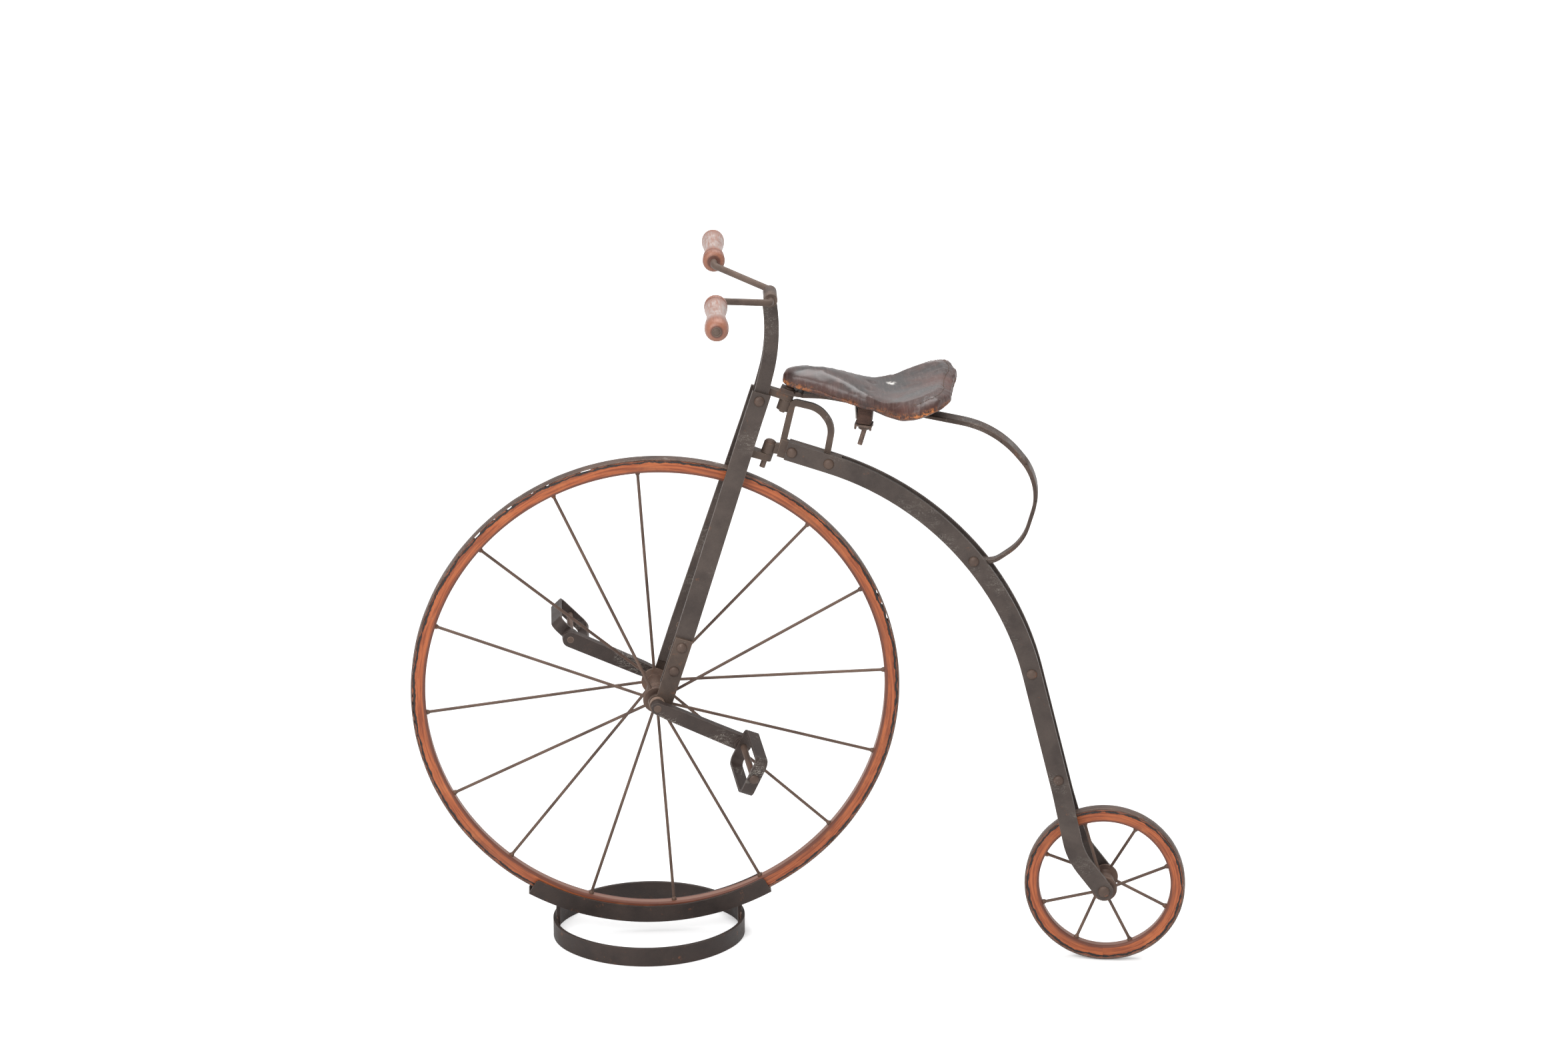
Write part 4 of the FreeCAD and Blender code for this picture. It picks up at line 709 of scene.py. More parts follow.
class HIGHWHEEL_OT_rims(bpy.types.Operator):
    """Carve the split wooden rims of both wheels and bend their strap-iron tyres"""
    bl_idname = "highwheel.rims"
    bl_label = "Wooden rims"

    def execute(self, context):
        looks = context.scene.highwheel_wood
        wood = split_wood("Split wood", looks)
        iron = forged_iron("Strap iron", context.scene.highwheel_iron)
        for name, place, slits, strap, seed in WHEELS:
            packed, half = wheel_sizes(name, place)
            tread = max(math.hypot(p.x, p.z) for p in node_points(name + "_tyre", place))
            outside = tread - strap * MM
            tyre = tyre_mesh(name + "_strap_tyre", place, outside, tread, half, seed)
            show(name + "_strap_tyre", tyre, iron, name + "_wheel", (name + "_tyre",))
            rim = rim_mesh(name + "_wooden_rim", looks, place, packed - RIM_DEPTH, outside, half, slits, seed)
            show(name + "_wooden_rim", rim, wood, name + "_wheel", (name + "_rim",))
        return {"FINISHED"}


# ---------------------------------------------------------------- hubs, bushes and spoke ends
BUSH_LENGTH = 8.9
# split bush outside each dropout: radius, distance outwards
BUSH = ((11.2, 0.0), (12.2, 0.3), (12.2, 3.4), (11.6, 3.8), (11.6, 4.4), (12.0, 4.8), (12.0, 8.4),
        (11.2, BUSH_LENGTH))
SAME_SPOKE = 0.06    # radians between points of one spoke's end


def spoke_ends(name, place):
    """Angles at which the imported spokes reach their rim."""
    points = node_points(name + "_hub", place)
    far = max(math.hypot(p.x, p.z) for p in points)
    angles = sorted(math.atan2(p.z, p.x) for p in points if math.hypot(p.x, p.z) > far * 0.985)
    groups = [[angles[0]]]
    for angle in angles[1:]:
        if angle - groups[-1][-1] > SAME_SPOKE:
            groups.append([])
        groups[-1].append(angle)
    if groups[0][0] + 2 * math.pi - groups[-1][-1] < SAME_SPOKE:
        groups[0] += [angle - 2 * math.pi for angle in groups.pop()]
    return [sum(group) / len(group) for group in groups]


class HIGHWHEEL_OT_hubs(bpy.types.Operator):
    """Add the spokes' swollen ends and the split bushes on the front axle"""
    bl_idname = "highwheel.hubs"
    bl_label = "Hubs"

    def execute(self, context):
        looks = context.scene.highwheel_iron
        rust = forged_iron("Spoke end iron", looks)
        for name, place, *_ in WHEELS:
            reach = wheel_sizes(name, place)[0] - SPOKE_NUT_DEPTH
            rows = []
            for angle in spoke_ends(name, place):
                way = place.to_3x3() @ Vector((math.cos(angle), 0, math.sin(angle)))
                rows.append((place.translation + way * reach, way, 4.1 * MM, 6.0 * MM))
            beads(name + "_spoke_ends", rows, rust, name + "_wheel", 14, 10)
        form = Form()
        for name, side in (("dropout_left", -1), ("dropout_right", 1)):
            low, high = node_span(name)
            base = max(side * low.y, side * high.y) - (0.1 + BUSH_LENGTH) * MM
            form.turned([(r * MM, h * MM) for r, h in BUSH],
                        facing(FRONT_AXLE + Vector((0, side * base, 0)), (0, side, 0)))
        show("split_bushes", form.mesh("split_bushes"), forged_iron("Bush iron", looks), "stand_and_fork")
        return {"FINISHED"}


# ---------------------------------------------------------------- rivets and bolt heads
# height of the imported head, radius and rise of the hammered one, in millimetres
RIVET, BOLT, AXLE, PIN, STUD = (4, 8.3, 4.7), (4, 9.0, 4.8), (4, 9.3, 4.6), (3, 7.9, 3.7), (0, 5.9, 0.9)
HEAD_LAYER = 0.6 * MM        # points this near a pin's far end belong to its head
RIVET_PLANE = 58.5 * MM      # outer face of a dropout, from the middle plane


def head_ends(name, ways, head):
    """Bases of a rivet's heads: centre and direction at each end that is asked for."""
    ends = []
    for aim in ways:
        points = node_points(name)
        far = max(p.dot(aim) for p in points)
        near = [p for p in points if p.dot(aim) > far - HEAD_LAYER]
        middle = sum(near, Vector()) / len(near)
        ends.append((middle - aim * (middle.dot(aim) - far + head * MM), aim))
    return ends


def dropout_heads(name, side):
    """Bases of the two rivet heads that a dropout carries."""
    points = [p for p in node_points(name)
              if (p - FRONT_AXLE).xz.length > 35 * MM and p.y * side > RIVET_PLANE + 1.0 * MM]
    heights = [p.z for p in points]
    middle = (min(heights) + max(heights)) / 2
    ends = []
    for group in ([p for p in points if p.z < middle], [p for p in points if p.z >= middle]):
        x, z = [(min(p[i] for p in group) + max(p[i] for p in group)) / 2 for i in (0, 2)]
        ends.append((Vector((x, side * RIVET_PLANE, z)), Vector((0, side, 0))))
    return ends


def head_rows(kind, *found):
    """Rows of beads for the ends of pieces that have one kind of head."""
    return [(point, way, kind[1] * MM, kind[2] * MM) for ends in found for point, way in ends]


class HIGHWHEEL_OT_rivets(bpy.types.Operator):
    """Set hammered round heads on the rivets, bolts and pins"""
    bl_idname = "highwheel.rivets"
    bl_label = "Rivets"

    def execute(self, context):
        across = (STEER.to_3x3() @ Vector((0, 1, 0))).normalized()
        right = Vector((0, 1, 0))
        fork = head_rows(RIVET, head_ends("crown_rivet", (right, -right), RIVET[0]),
                         dropout_heads("dropout_left", -1), dropout_heads("dropout_right", 1))
        fork += head_rows(BOLT, *(head_ends(name, (HEAD_UP,), BOLT[0])
                                  for name in ("lower_pivot_bolt", "upper_pivot_bolt")))
        ends = (across, -across)
        rear = head_rows(RIVET, *(head_ends(name, ends, RIVET[0]) for name in (
            "spring_rivet", "middle_rivet", "lower_rivet", "bracket_bolt_front", "bracket_bolt_rear")))
        rear += head_rows(AXLE, head_ends("rear_axle", ends, AXLE[0]))
        cranks = []
        for side, out in (("left", -right), ("right", right)):
            way = joint_axis(side + "_pedal_spin")
            way = way if way.dot(out) > 0 else -way
            cranks += head_rows(PIN, head_ends("pedal_pin_" + side, (way,), PIN[0]))
            cranks += head_rows(STUD, head_ends("front_axle", (out,), STUD[0]))
        iron = forged_iron("Rivet iron", context.scene.highwheel_iron)
        for name, rows, body in (("fork_rivet_heads", fork, "stand_and_fork"),
                                 ("frame_rivet_heads", rear, "rear_frame"),
                                 ("crank_rivet_heads", cranks, "front_wheel")):
            beads(name, rows, iron, body, 24, 12)
        return {"FINISHED"}


# ---------------------------------------------------------------- handlebar
GRIP_SWELL = 1.06
# share of the grip's length, radius in millimetres, groove
GRIP_ROWS = ((0.000, 8.5, 1), (0.006, 11.5, 0), (0.018, 14.6, 0), (0.040, 16.2, 0), (0.070, 16.5, 0),
             (0.095, 15.9, 0), (0.108, 14.9, 1), (0.118, 14.9, 1), (0.132, 15.8, 0), (0.160, 16.0, 0),
             (0.210, 15.4, 0), (0.280, 14.2, 0), (0.360, 13.4, 0), (0.450, 13.2, 0), (0.540, 13.6, 0),
             (0.630, 14.4, 0), (0.720, 15.6, 0), (0.800, 16.6, 0), (0.870, 16.9, 0), (0.920, 16.4, 0),
             (0.955, 15.0, 0), (0.980, 12.8, 0), (0.993, 10.0, 0), (1.000, 7.6, 1))
# radius, distance past the grip's end
ROD_END = ((7.4, -0.4), (7.4, 0.5), (6.9, 0.9), (5.6, 0.9), (5.4, 0.4), (4.9, 0.4), (4.6, 1.2), (3.0, 1.9),
           (1.2, 2.1))
# half of the collar: radius, distance from its middle
COLLAR = ((5.0, -26), (9.6, -26), (10.6, -25.2), (10.6, -22.2), (9.9, -21.7), (9.9, -21.0), (10.6, -20.4),
          (10.6, -15.4), (10.0, -14.9), (10.0, -14.2), (10.6, -13.7), (10.6, -6.0))


class HIGHWHEEL_OT_handlebar(bpy.types.Operator):
    """Turn the wooden grips, the rod's riveted ends and the collar's rings"""
    bl_idname = "highwheel.handlebar"
    bl_label = "Handlebar"

    def execute(self, context):
        wood = rubbed_handle("Rubbed handle", context.scene.highwheel_grip)
        iron = forged_iron("Rod iron", context.scene.highwheel_iron)
        paint(("handlebar_left", "handlebar_right"), iron)
        ends = Form()
        for side, way in (("left", -BAR_WAY), ("right", BAR_WAY)):
            middle = node_middle("grip_" + side)
            reach = [p.dot(way) for p in node_points("grip_" + side)]
            long = max(reach) - min(reach)
            place = facing(middle + way * (min(reach) - middle.dot(way)), way)
            profile = [(radius * GRIP_SWELL * MM, share * long) for share, radius, _ in GRIP_ROWS]
            mesh = Form().turned(profile, place, 56).mesh("wooden_grip_" + side, 50)
            back = place.inverted()
            along = [(back @ vertex.co).z / long for vertex in mesh.vertices]
            note(mesh, "along", along)
            cuts = [share for share, _, cut in GRIP_ROWS if cut]
            in_groove = [float(any(abs(share - value) < 0.002 for share in cuts)) for value in along]
            note(mesh, "groove", in_groove)
            show("wooden_grip_" + side, mesh, wood, "stand_and_fork", ("grip_" + side,))
            ends.turned([(r * MM, long + h * MM) for r, h in ROD_END], place, 28)
        show("rod_ends", ends.mesh("rod_ends"), iron, "stand_and_fork")
        rows = [(r * MM, h * MM) for r, h in COLLAR + tuple((r, -h) for r, h in reversed(COLLAR))]
        rings = Form().turned(rows, facing(node_middle("handlebar_collar"), BAR_WAY))
        show("ringed_collar", rings.mesh("ringed_collar"), iron, "stand_and_fork",
             ("handlebar_collar",))
        return {"FINISHED"}


# ---------------------------------------------------------------- saddle
# share along, millimetres by which rounding has lowered the top there
CROWN = ((-0.1, 4.5), (0.0, 5.5), (0.15, 6.0), (0.35, 3.5), (0.5, 1.2), (0.62, 1.5), (0.75, 5.0), (0.86, 7.0),
         (1.1, 6.0))
LENGTHENED, WIDENED = 5 * MM, 1.03      # what rounding has taken off the ends and the sides
EDGE_POINTS = 420                       # points of the loop that carries the welt
SIDE_STEPS, FAN_STEPS = 60, 24          # rows along a side, and directions round an end
CLOTH = {"use_pressure": True, "uniform_pressure_force": 4.0, "quality": 6, "tension_stiffness": 25,
         "compression_stiffness": 25, "bending_stiffness": 4}
CLOTH_FRAMES = 20
UNDERSIDE_SWELL = 0.25                  # share of the swelling that the underside may take
# worn orange places: share along, share to the right, reach in millimetres, strength
WORN = ((0.02, -0.18, 20, 1.0), (0.12, -0.33, 20, 0.8), (0.60, -0.70, 26, 0.45), (0.72, -0.98, 26, 0.7),
        (0.86, -0.95, 34, 1.0), (0.97, -0.60, 26, 0.7), (1.0, 0.30, 24, 0.4), (0.40, -0.42, 16, 0.4))
# share along, millimetres towards the right, radius and depth of two soft dents
DENTS = ((0.51, 12, 11, 1.6), (0.51, -24, 10, 1.4))
NICK = (0.62, 30, 7.5)                  # share along, millimetres towards the right, reach
RUBBED_REACH, SIDE_REACH = 9 * MM, 24 * MM    # how far wear and the darker side go in from the edge
# welt: millimetres outwards, half heights upwards
WELT = ((-1.6, -1.0), (0.0, -1.05), (1.0, -0.75), (1.35, 0.0), (1.0, 0.7), (0.1, 1.0), (-1.6, 1.0))
SECOND_ROW = 0.80                       # share along behind which a second row of stitches runs


def curve(rows, place):
    """Value at a place, on straight lines between rows of (place, value)."""
    for (first, before), (last, after) in zip(rows, rows[1:]):
        if place <= last:
            share = min(1.0, max(0.0, (place - first) / (last - first)))
            return before + (after - before) * share
    return rows[-1][1]


def smoothed(points, passes):
    """Closed row of points, evened out."""
    for _ in range(passes):
        points = [(before + here * 2 + after) / 4
                  for before, here, after in zip(points[-1:] + points, points, points[1:] + points[:1])]
    return points


def spaced(points):
    """Closed row of points, divided evenly; also gives its length."""
    after = points[1:] + points[:1]
    lengths = [0.0]
    for here, there in zip(points, after):
        lengths.append(lengths[-1] + (there - here).length)
    result = []
    i = 0
    for k in range(EDGE_POINTS):
        want = lengths[-1] * k / EDGE_POINTS
        while lengths[i + 1] < want:
            i += 1
        share = (want - lengths[i]) / (lengths[i + 1] - lengths[i])
        result.append(points[i].lerp(after[i], share))
    return result, lengths[-1]


def saddle_edge(mesh, tree):
    """Even loop just under the widest line of the saddle, seen from above in the straight frame."""
    points = [STRAIGHT @ vertex.co for vertex in mesh.vertices]
    nose = min(p.x for p in points) + 16 * MM
    tail = max(p.x for p in points) - 34 * MM
    right, left, front, rear = [], [], [], []
    for k in range(SIDE_STEPS + 1):
        x = nose + (tail - nose) * k / SIDE_STEPS
        near = [p for p in points if abs(p.x - x) < 2.6 * MM]
        right.append(max(near, key=lambda p: p.y))
        left.append(min(near, key=lambda p: p.y))
    for centre, sign, found in ((tail, 1, rear), (nose, -1, front)):
        beyond = [p for p in points if (p.x - centre) * sign > -4 * MM]
        for k in range(1, FAN_STEPS):
            turn = math.pi / 2 - math.pi * k / FAN_STEPS
            way = Vector((math.cos(turn) * sign, math.sin(turn) * sign, 0))
            found.append(max(beyond, key=lambda p: p.dot(way)))
    loop, _ = spaced(smoothed(right + rear + left[::-1] + front, 6))
    loop = smoothed(loop, 10)
    lowered = []
    for index, point in enumerate(loop):
        along = (loop[(index + 1) % EDGE_POINTS] - loop[index - 1]).normalized()
        out = Vector((along.y, -along.x, 0)).normalized()
        if out.dot(point - Vector(((nose + tail) / 2, 0, point.z))) < 0:
            out = -out
        near = tree.find_nearest(STEER @ (point + out * 3 * MM - Vector((0, 0, 6.5 * MM))))[0]
        lowered.append(STRAIGHT @ near)
    loop, total = spaced(smoothed(lowered, 8))
    return [STEER @ point for point in loop], total


def edge_frames(points, normals):
    """Place, direction along the edge, outwards and upwards at each point of the saddle's edge."""
    frames = []
    for index, (place, normal) in enumerate(zip(points, normals)):
        along = (points[(index + 1) % len(points)] - points[index - 1]).normalized()
        out = (normal - along * normal.dot(along)).normalized()
        up = out.cross(along).normalized()
        frames.append((place, along, out, up if up.z > 0 else -up))
    return frames


def soft_saddle(looks):
    """The saddle's mesh: remeshed, rounded and swollen a little as sewn leather over its pad."""
    mesh = NODES["saddle"].data.copy()
    shape = bmesh.new()
    shape.from_mesh(mesh)
    bmesh.ops.remove_doubles(shape, verts=shape.verts, dist=1e-5)
    shape.to_mesh(mesh)
    shape.free()
    pad = bpy.data.objects.new("pad", mesh)
    bpy.context.scene.collection.objects.link(pad)
    grid = pad.modifiers.new("Grid", "REMESH")
    grid.mode = "VOXEL"
    grid.voxel_size = looks.voxel
    round_off = pad.modifiers.new("Round", "SMOOTH")
    round_off.factor = 0.5
    round_off.iterations = 16
    pad.data = evaluated(pad, "pad grid")
    pad.modifiers.clear()
    low, high = node_span("saddle", STEER)
    for vertex in pad.data.vertices:
        local = STRAIGHT @ vertex.co
        share = (local.x - low.x) / (high.x - low.x)
        local.x += (share - 0.5) * LENGTHENED
        local.y *= WIDENED
        local.z += max(0.0, vertex.normal.z) * curve(CROWN, share) * MM
        vertex.co = STEER @ local
    start = [vertex.co.copy() for vertex in pad.data.vertices]
    cloth = pad.modifiers.new("Leather", "CLOTH")
    for name, value in CLOTH.items():
        setattr(cloth.settings, name, value)
    cloth.settings.effector_weights.gravity = 0.0
    for number in range(1, CLOTH_FRAMES + 1):
        bpy.context.scene.frame_set(number)
    swollen = evaluated(pad, "swollen")
    pad.modifiers.clear()
    for vertex, before, after in zip(pad.data.vertices, start, swollen.vertices):
        move = after.co - before
        limit = looks.swell * (UNDERSIDE_SWELL if after.normal.z < -0.5 else 1.0)
        if move.length > limit:
            move *= limit / move.length
        vertex.co = before + move
    bpy.context.scene.frame_set(1)
    finer = pad.modifiers.new("Finer", "SUBSURF")
    finer.levels = finer.render_levels = 1
    done = evaluated(pad, "leather_saddle")
    bpy.data.objects.remove(pad)
    return done


def worn_there(point, low, high):
    """How far the dye has gone at a point, from the table of worn places."""
    local = (STRAIGHT @ point).xy
    best = 0.0
    for along, side, reach, strength in WORN:
        target = Vector((low.x + along * (high.x - low.x), side * (high.y - low.y) / 2))
        best = max(best, strength * max(0.0, 1.15 - (local - target).length / (reach * MM)))
    return min(1.0, best)


def mark_leather(mesh, edge, low, high):
    """Dent the saddle and note its side, its worn places and its white nick for the leather."""
    def spot(along, across):
        return Vector((low.x + along * (high.x - low.x), across * MM))

    side, rubbed, nick = [], [], []
    for vertex in mesh.vertices:
        away = min((vertex.co - place).length for place in edge[::3])
        side.append(max(0.0, 1.0 - away / SIDE_REACH))
        rubbed.append(min(1.0, worn_there(vertex.co, low, high) * max(0.0, 1.0 - away / RUBBED_REACH) * 1.5))
        nick.append(0.0)
        if vertex.normal.z > 0.5:
            place = (STRAIGHT @ vertex.co).xy
            nick[-1] = max(0.0, 1.2 - (place - spot(*NICK[:2])).length / (NICK[2] * MM))
            for along, across, reach, deep in DENTS:
                share = max(0.0, 1.0 - ((place - spot(along, across)).length / (reach * MM)) ** 2)
                vertex.co.z -= deep * MM * share * share
    for key, values in (("side", side), ("rubbed", rubbed), ("nick", nick)):
        note(mesh, key, values)
    for polygon in mesh.polygons:
        polygon.use_smooth = True


class HIGHWHEEL_OT_saddle(bpy.types.Operator):
    """Swell the leather saddle and sew its edge"""
    bl_idname = "highwheel.saddle"
    bl_label = "Saddle"

    def execute(self, context):
        looks = context.scene.highwheel_leather
        leather = old_leather("Old leather", looks)
        mesh = soft_saddle(looks)
        low, high = node_span("saddle", STEER)
        tree = BVHTree.FromPolygons([v.co for v in mesh.vertices], [p.vertices for p in mesh.polygons])
        edge, total = saddle_edge(mesh, tree)
        normals = smoothed([tree.find_nearest(point)[1] for point in edge], 24)
        frames = edge_frames(edge, [normal.normalized() for normal in normals])
        mark_leather(mesh, edge, low, high)
        pad = show("leather_saddle", mesh, leather, "rear_frame", ("saddle",))

        rings = []
        for place, along, out, up in frames:
            wave = noise.noise(place * 40) * 0.2 * MM
            rings.append([place + out * (a * MM + wave) + up * (b * looks.welt / 2) for a, b in WELT])
        strip = Form().rings(rings, closed=True).mesh("sewn_welt", 50)
        note(strip, "side", [0.8] * len(strip.vertices))
        note(strip, "nick", [0.0] * len(strip.vertices))
        note(strip, "rubbed", [min(1.0, 0.14 + 0.9 * worn_there(v.co, low, high)) for v in strip.vertices])
        show("sewn_welt", strip, leather, "rear_frame")

        stitches = []
        number = int(total / looks.pitch)
        for k in range(number):
            place, along, out, up = frames[int(k * EDGE_POINTS / number)]
            near, face, _, _ = tree.find_nearest(place + up * 4.6 * MM)
            stitches.append((near + face * 0.05 * MM, (along + up * 0.25).normalized(), 0.6 * MM, 2.1 * MM))
        seat = STEER @ Vector((low.x + 0.72 * (high.x - low.x), 0, high.z))
        for k in range(number * 2):
            place, along, out, up = frames[int(k * EDGE_POINTS / (number * 2))]
            if (STRAIGHT @ place).x >= low.x + SECOND_ROW * (high.x - low.x):
                inward = (seat - place).normalized()
                near, face, _, _ = tree.find_nearest(place + inward * 13 * MM + Vector((0, 0, 12 * MM)))
                stitches.append((near + face * 0.05 * MM, along, 0.5 * MM, 1.3 * MM))
        thread = plain_noise("Thread", (0.028, 0.016, 0.012), (0.10, 0.055, 0.03), 300)
        beads("saddle_stitches", stitches, thread, "rear_frame", 8, 6)
        return {"FINISHED"}


# ---------------------------------------------------------------- saddle spring
LEAF_HALF = 17.0 * MM                   # half width of the real leaf under the saddle
LEAF_GAIN = 0.7 * MM                    # how much thicker it is there, on each face
TAPER = (40 * MM, 190 * MM)             # heights over the leaf's lowest point where the taper starts and ends
CURL_REACH, CURL_WIDTH = 34 * MM, 1.45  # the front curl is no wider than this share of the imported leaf


def leaf_share(height):
    """1 where the leaf has its full width, 0 at its riveted foot."""
    share = min(1.0, max(0.0, (height - TAPER[0]) / (TAPER[1] - TAPER[0])))
    return share * share * (3 - 2 * share)


class HIGHWHEEL_OT_spring(bpy.types.Operator):
    """Draw the leaf spring out to its real width and thickness, tapering to its foot"""
    bl_idname = "highwheel.spring"
    bl_label = "Saddle spring"

    def execute(self, context):
        low, high = node_span("saddle_spring", STEER)
        half = max(abs(low.y), abs(high.y))
        mesh = NODES["saddle_spring"].data.copy()
        mesh.name = "tapered_leaf"
        shape = bmesh.new()
        shape.from_mesh(mesh)
        bmesh.ops.remove_doubles(shape, verts=shape.verts, dist=1e-6)
        shape.normal_update()
        for vertex in shape.verts:
            flat = STRAIGHT.to_3x3() @ vertex.normal
            flat.y = 0.0
            place = STRAIGHT @ vertex.co
            share = leaf_share(place.z - low.z)
            wide = 1 + (LEAF_HALF / half - 1) * share
            if place.x < low.x + CURL_REACH:
                wide = min(wide, CURL_WIDTH)
            place.y *= wide
            if flat.length > 0.2:
                place += flat.normalized() * LEAF_GAIN * share
            vertex.co = STEER @ place
        shape.to_mesh(mesh)
        shape.free()
        iron = forged_iron("Leaf iron", context.scene.highwheel_iron)
        show("tapered_leaf", mesh, iron, "rear_frame", ("saddle_spring",))
        return {"FINISHED"}


# ---------------------------------------------------------------- saddle clamp
CLAMP_LEAN, PLATE_LEAN, BOLT_LEAN = 5.6, -9, 11    # degrees
WING = ((-14, -16), (-9, -19), (9, -19), (13, -15), (13, 15), (9, 19), (-9, 19), (-14, 16))
CORNERS = ((-12, -15), (11, -15), (-12, 15), (11, 15))
NUT_RADIUS = 8.6
THREAD_PITCH, THREAD_TOP, THREAD_ROOT = 1.4, 4.15, 3.55


class HIGHWHEEL_OT_clamp(bpy.types.Operator):
    """Build the saddle clamp: fibre block, plates, nut and threaded bolt"""
    bl_idname = "highwheel.clamp"
    bl_label = "Saddle clamp"

    def execute(self, context):
        points = node_points("saddle_clamp", STEER)
        bottom = min(p.z for p in points)
        foot = [p for p in points if p.z < bottom + 1.0 * MM]
        space = (STEER @ Matrix.Translation(sum(foot, Vector()) / len(foot))
                 @ Matrix.Rotation(math.radians(CLAMP_LEAN), 4, "Y"))
        fibre = plain_noise("Fibre block", (0.040, 0.018, 0.012), (0.085, 0.042, 0.028), 60, (1, 1, 3.5),
                            0.85, 0.001)
        grey = plain_noise("Grey plate", (0.22, 0.20, 0.18), (0.42, 0.39, 0.36), 90, None, 0.6, 0.0003, 0.4)
        block = Form().block((22, 37, 31), (0, 0, 40.5), space, 2.2)
        show("fibre_block", block.mesh("fibre_block"), fibre, "rear_frame", ("saddle_clamp",))
        leaning = (space @ Matrix.Translation((-13.9 * MM, 0, 43 * MM))
                   @ Matrix.Rotation(math.radians(PLATE_LEAN), 4, "Y"))
        plate = Form().block((2.2, 30, 22), (0, 0, 0), leaning, 0.5)
        show("grey_clamp_plate", plate.mesh("grey_clamp_plate"), grey, "rear_frame")
        metal = Form().plate(WING, 21.6, 24.4, space)
        for x, y in CORNERS:
            metal.block((3.5, 6, 8), (x, y, 20.6), space, 0.8)
        sixths = [math.radians(60 * k) for k in range(6)]
        nut = [(NUT_RADIUS * math.cos(t), NUT_RADIUS * math.sin(t)) for t in sixths]
        metal.plate(nut, 14.6, 21.5, space)
        tilted = (space @ Matrix.Translation((2 * MM, 0, 19 * MM))
                  @ Matrix.Rotation(math.radians(BOLT_LEAN), 4, "Y"))
        rows = [(3.2, -30.0)]
        height = -29.5
        while height < 0:
            rows += [(THREAD_TOP, height), (THREAD_ROOT, height + THREAD_PITCH / 2)]
            height += THREAD_PITCH
        metal.turned([(r * MM, h * MM) for r, h in rows + [(3.6, 3)]], tilted, 20)
        metal.block((21, 12, 3), (0, 0, 58.4), space, 0.6)
        iron = forged_iron("Clamp iron", context.scene.highwheel_iron)
        show("clamp_iron", metal.mesh("clamp_iron"), iron, "rear_frame")
        return {"FINISHED"}


# ---------------------------------------------------------------- welds
class HIGHWHEEL_OT_welds(bpy.types.Operator):
    """Lay the rough weld beads where the stand's posts meet the hoop and the trough"""
    bl_idname = "highwheel.welds"
    bl_label = "Welds"

    def execute(self, context):
        rows = []
        for name, side in (("stand_post_front", -1), ("stand_post_rear", 1)):
            low, high = node_span(name)
            inner, open_side = (low.x, high.x) if side < 0 else (high.x, low.x)
            for k in range(9):
                jump = noise.noise(Vector((k * 1.7, side, 0.4)))
                place = Vector((open_side, low.y + (high.y - low.y) * k / 8, high.z - (1.5 + jump) * MM))
                rows.append((place, (0.2 * jump, 1, 0.1), (2.6 + jump) * MM, 3.2 * MM))
            for k in range(6):
                for y in (low.y, high.y):
                    jump = noise.noise(Vector((k * 2.3, side, y * 900)))
                    place = Vector((inner - side * 1.5 * MM, y, low.z + (4 + 24 * k / 5) * MM))
                    rows.append((place, (0, 0.1 * jump, 1), (2.0 + jump) * MM, 3.4 * MM))
        iron = forged_iron("Weld iron", context.scene.highwheel_iron)
        beads("weld_beads", rows, iron, "stand_and_fork", 12, 8)
        return {"FINISHED"}


# ---------------------------------------------------------------- stage
FLOOR_HALF, FLOOR_DROP = 40.0, 0.0005
AIM = Vector((0, 0, 0.5))
# name, place, diameter, share of the main lamp's power
LAMPS = (("main lamp", (-1.6, -2.6, 3.2), 2.4, 1.0), ("top lamp", (0.4, 0.6, 3.4), 2.6, 0.55))


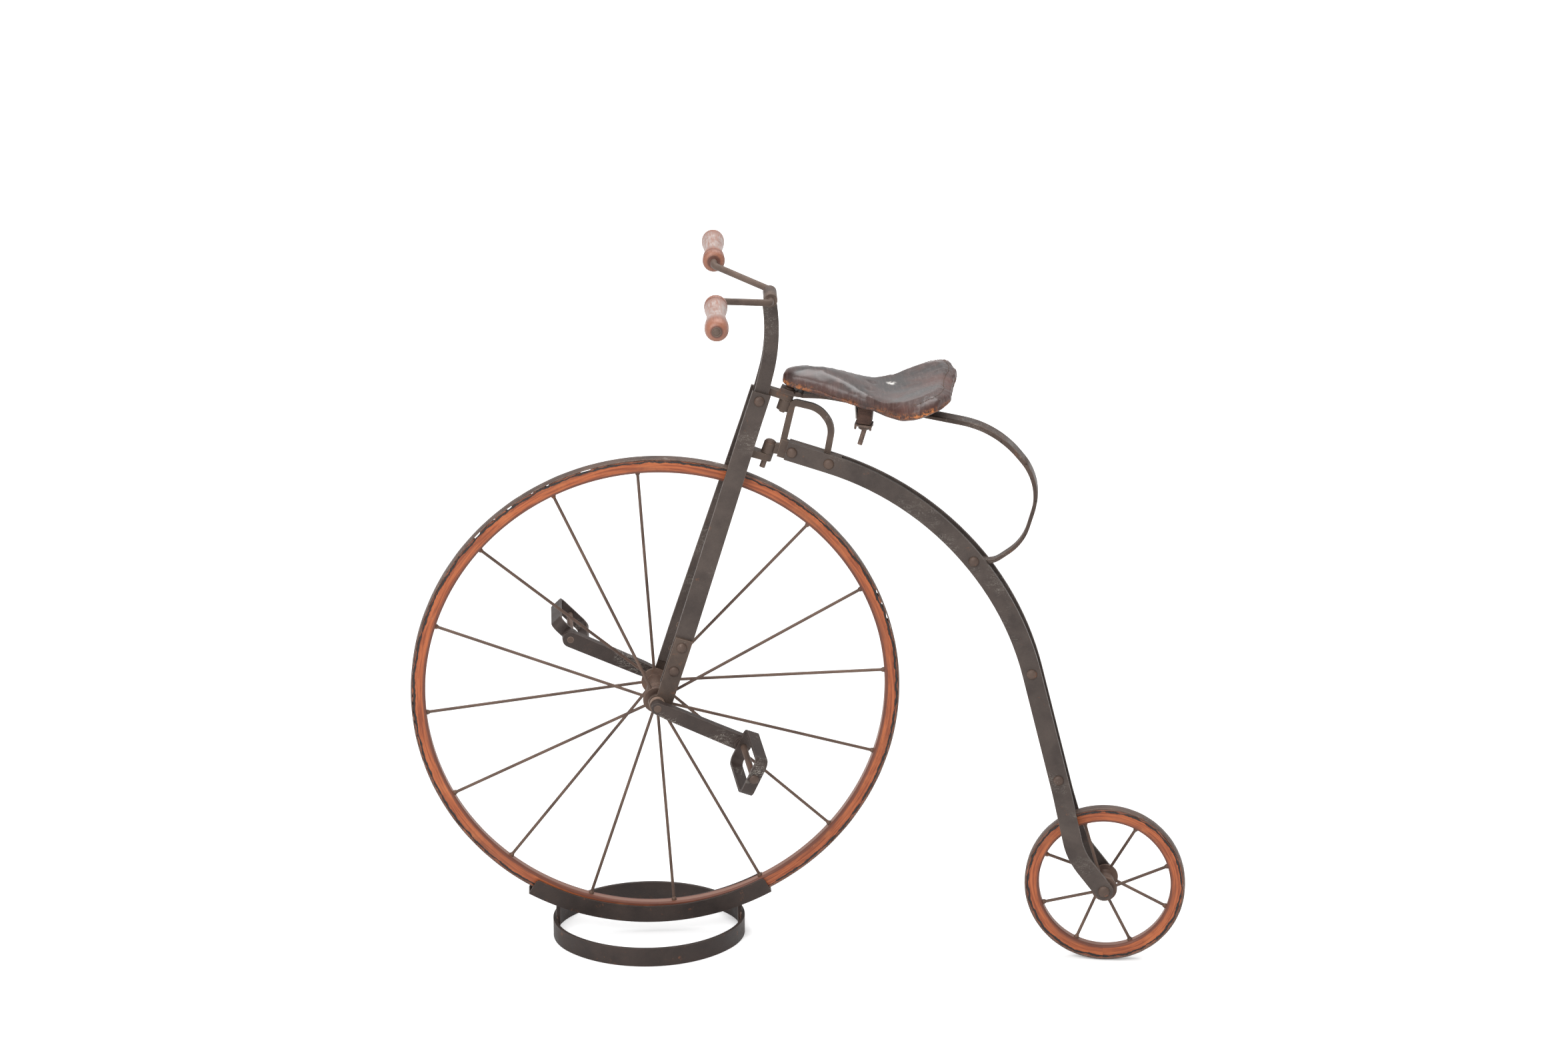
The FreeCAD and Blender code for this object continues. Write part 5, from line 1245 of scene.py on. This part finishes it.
class HIGHWHEEL_OT_stage(bpy.types.Operator):
    """Make the floor, the lamps and the camera"""
    bl_idname = "highwheel.stage"
    bl_label = "Stage"

    def execute(self, context):
        looks = context.scene.highwheel_stage
        floor = bpy.data.objects.new("floor", bpy.data.meshes.new("floor"))
        corners = [(x * FLOOR_HALF, y * FLOOR_HALF, 0) for x, y in ((-1, -1), (1, -1), (1, 1), (-1, 1))]
        floor.data.from_pydata(corners, [], [(0, 1, 2, 3)])
        context.scene.collection.objects.link(floor)
        floor.location.z = -FLOOR_DROP
        s = Shader("Pale floor")
        plain = s.add("BsdfDiffuse", {"Color": (*looks.floor_colour, 1.0)})
        seen = s.math("MAXIMUM", s.add("LightPath", output="Is Camera Ray"),
                      s.add("LightPath", output="Is Glossy Ray"))
        away = s.add("VectorMath", {0: s.place}, output="Value", operation="LENGTH")
        far = s.span(away, looks.clear_from, looks.clear_from * 2.2, looks.floor_glow, 1.0)
        glow = s.add("Emission", {"Strength": s.times(seen, far)})
        floor.data.materials.append(s.close(s.add("AddShader", {0: plain, 1: glow})))

        # even light on the bicycle, and plain white where the camera sees the room itself
        s = Shader("Room", "worlds")
        seen = s.math("MAXIMUM", s.add("LightPath", output="Is Camera Ray"),
                      s.add("LightPath", output="Is Transmission Ray"))
        strength = s.span(seen, 0.0, 1.0, looks.sky_strength, 1.0)
        sky = s.add("Background", {"Color": (1, 1, 1, 1), "Strength": strength})
        context.scene.world = s.close(sky, "World")

        for name, place, size, power in LAMPS:
            lamp = bpy.data.lights.new(name, "AREA")
            lamp.shape = "DISK"
            lamp.size = size
            lamp.energy = looks.key_power * power
            holder = bpy.data.objects.new(name, lamp)
            holder.location = place
            holder.rotation_euler = (AIM - Vector(place)).to_track_quat("-Z", "Y").to_euler()
            context.scene.collection.objects.link(holder)

        lens = bpy.data.cameras.new("camera")
        lens.sensor_width = 36.0
        lens.lens = looks.camera_lens
        camera = bpy.data.objects.new("camera", lens)
        camera.location = looks.camera_place
        camera.rotation_euler = (math.pi / 2 - looks.camera_pitch, 0, -looks.camera_yaw)
        context.scene.collection.objects.link(camera)
        context.scene.camera = camera
        context.scene.view_settings.view_transform = "Standard"
        return {"FINISHED"}


# ---------------------------------------------------------------- panel and start
OPERATORS = (HIGHWHEEL_OT_iron, HIGHWHEEL_OT_rims, HIGHWHEEL_OT_hubs, HIGHWHEEL_OT_rivets,
             HIGHWHEEL_OT_handlebar, HIGHWHEEL_OT_saddle, HIGHWHEEL_OT_spring, HIGHWHEEL_OT_clamp,
             HIGHWHEEL_OT_welds, HIGHWHEEL_OT_stage)
GROUPS = (("highwheel_iron", IronLooks), ("highwheel_wood", WoodLooks), ("highwheel_leather", LeatherLooks),
          ("highwheel_grip", GripLooks), ("highwheel_stage", StageLooks))


class HIGHWHEEL_PT_panel(bpy.types.Panel):
    bl_label = "High Wheel"
    bl_idname = "HIGHWHEEL_PT_panel"
    bl_space_type = "VIEW_3D"
    bl_region_type = "UI"
    bl_category = "High Wheel"

    def draw(self, context):
        for operator in OPERATORS:
            self.layout.operator(operator.bl_idname)
        for name, group in GROUPS:
            box = self.layout.box()
            for key in group.__annotations__:
                box.prop(getattr(context.scene, name), key)


def register():
    for _, group in GROUPS:
        bpy.utils.register_class(group)
    for operator in OPERATORS:
        bpy.utils.register_class(operator)
    bpy.utils.register_class(HIGHWHEEL_PT_panel)
    for name, group in GROUPS:
        setattr(bpy.types.Scene, name, PointerProperty(type=group))


def unregister():
    for name, _ in GROUPS:
        delattr(bpy.types.Scene, name)
    bpy.utils.unregister_class(HIGHWHEEL_PT_panel)
    for operator in reversed(OPERATORS):
        bpy.utils.unregister_class(operator)
    for _, group in reversed(GROUPS):
        bpy.utils.unregister_class(group)


def main():
    register()
    for operator in OPERATORS:
        family, name = operator.bl_idname.split(".")
        getattr(getattr(bpy.ops, family), name)()


if __name__ == "__main__":
    main()
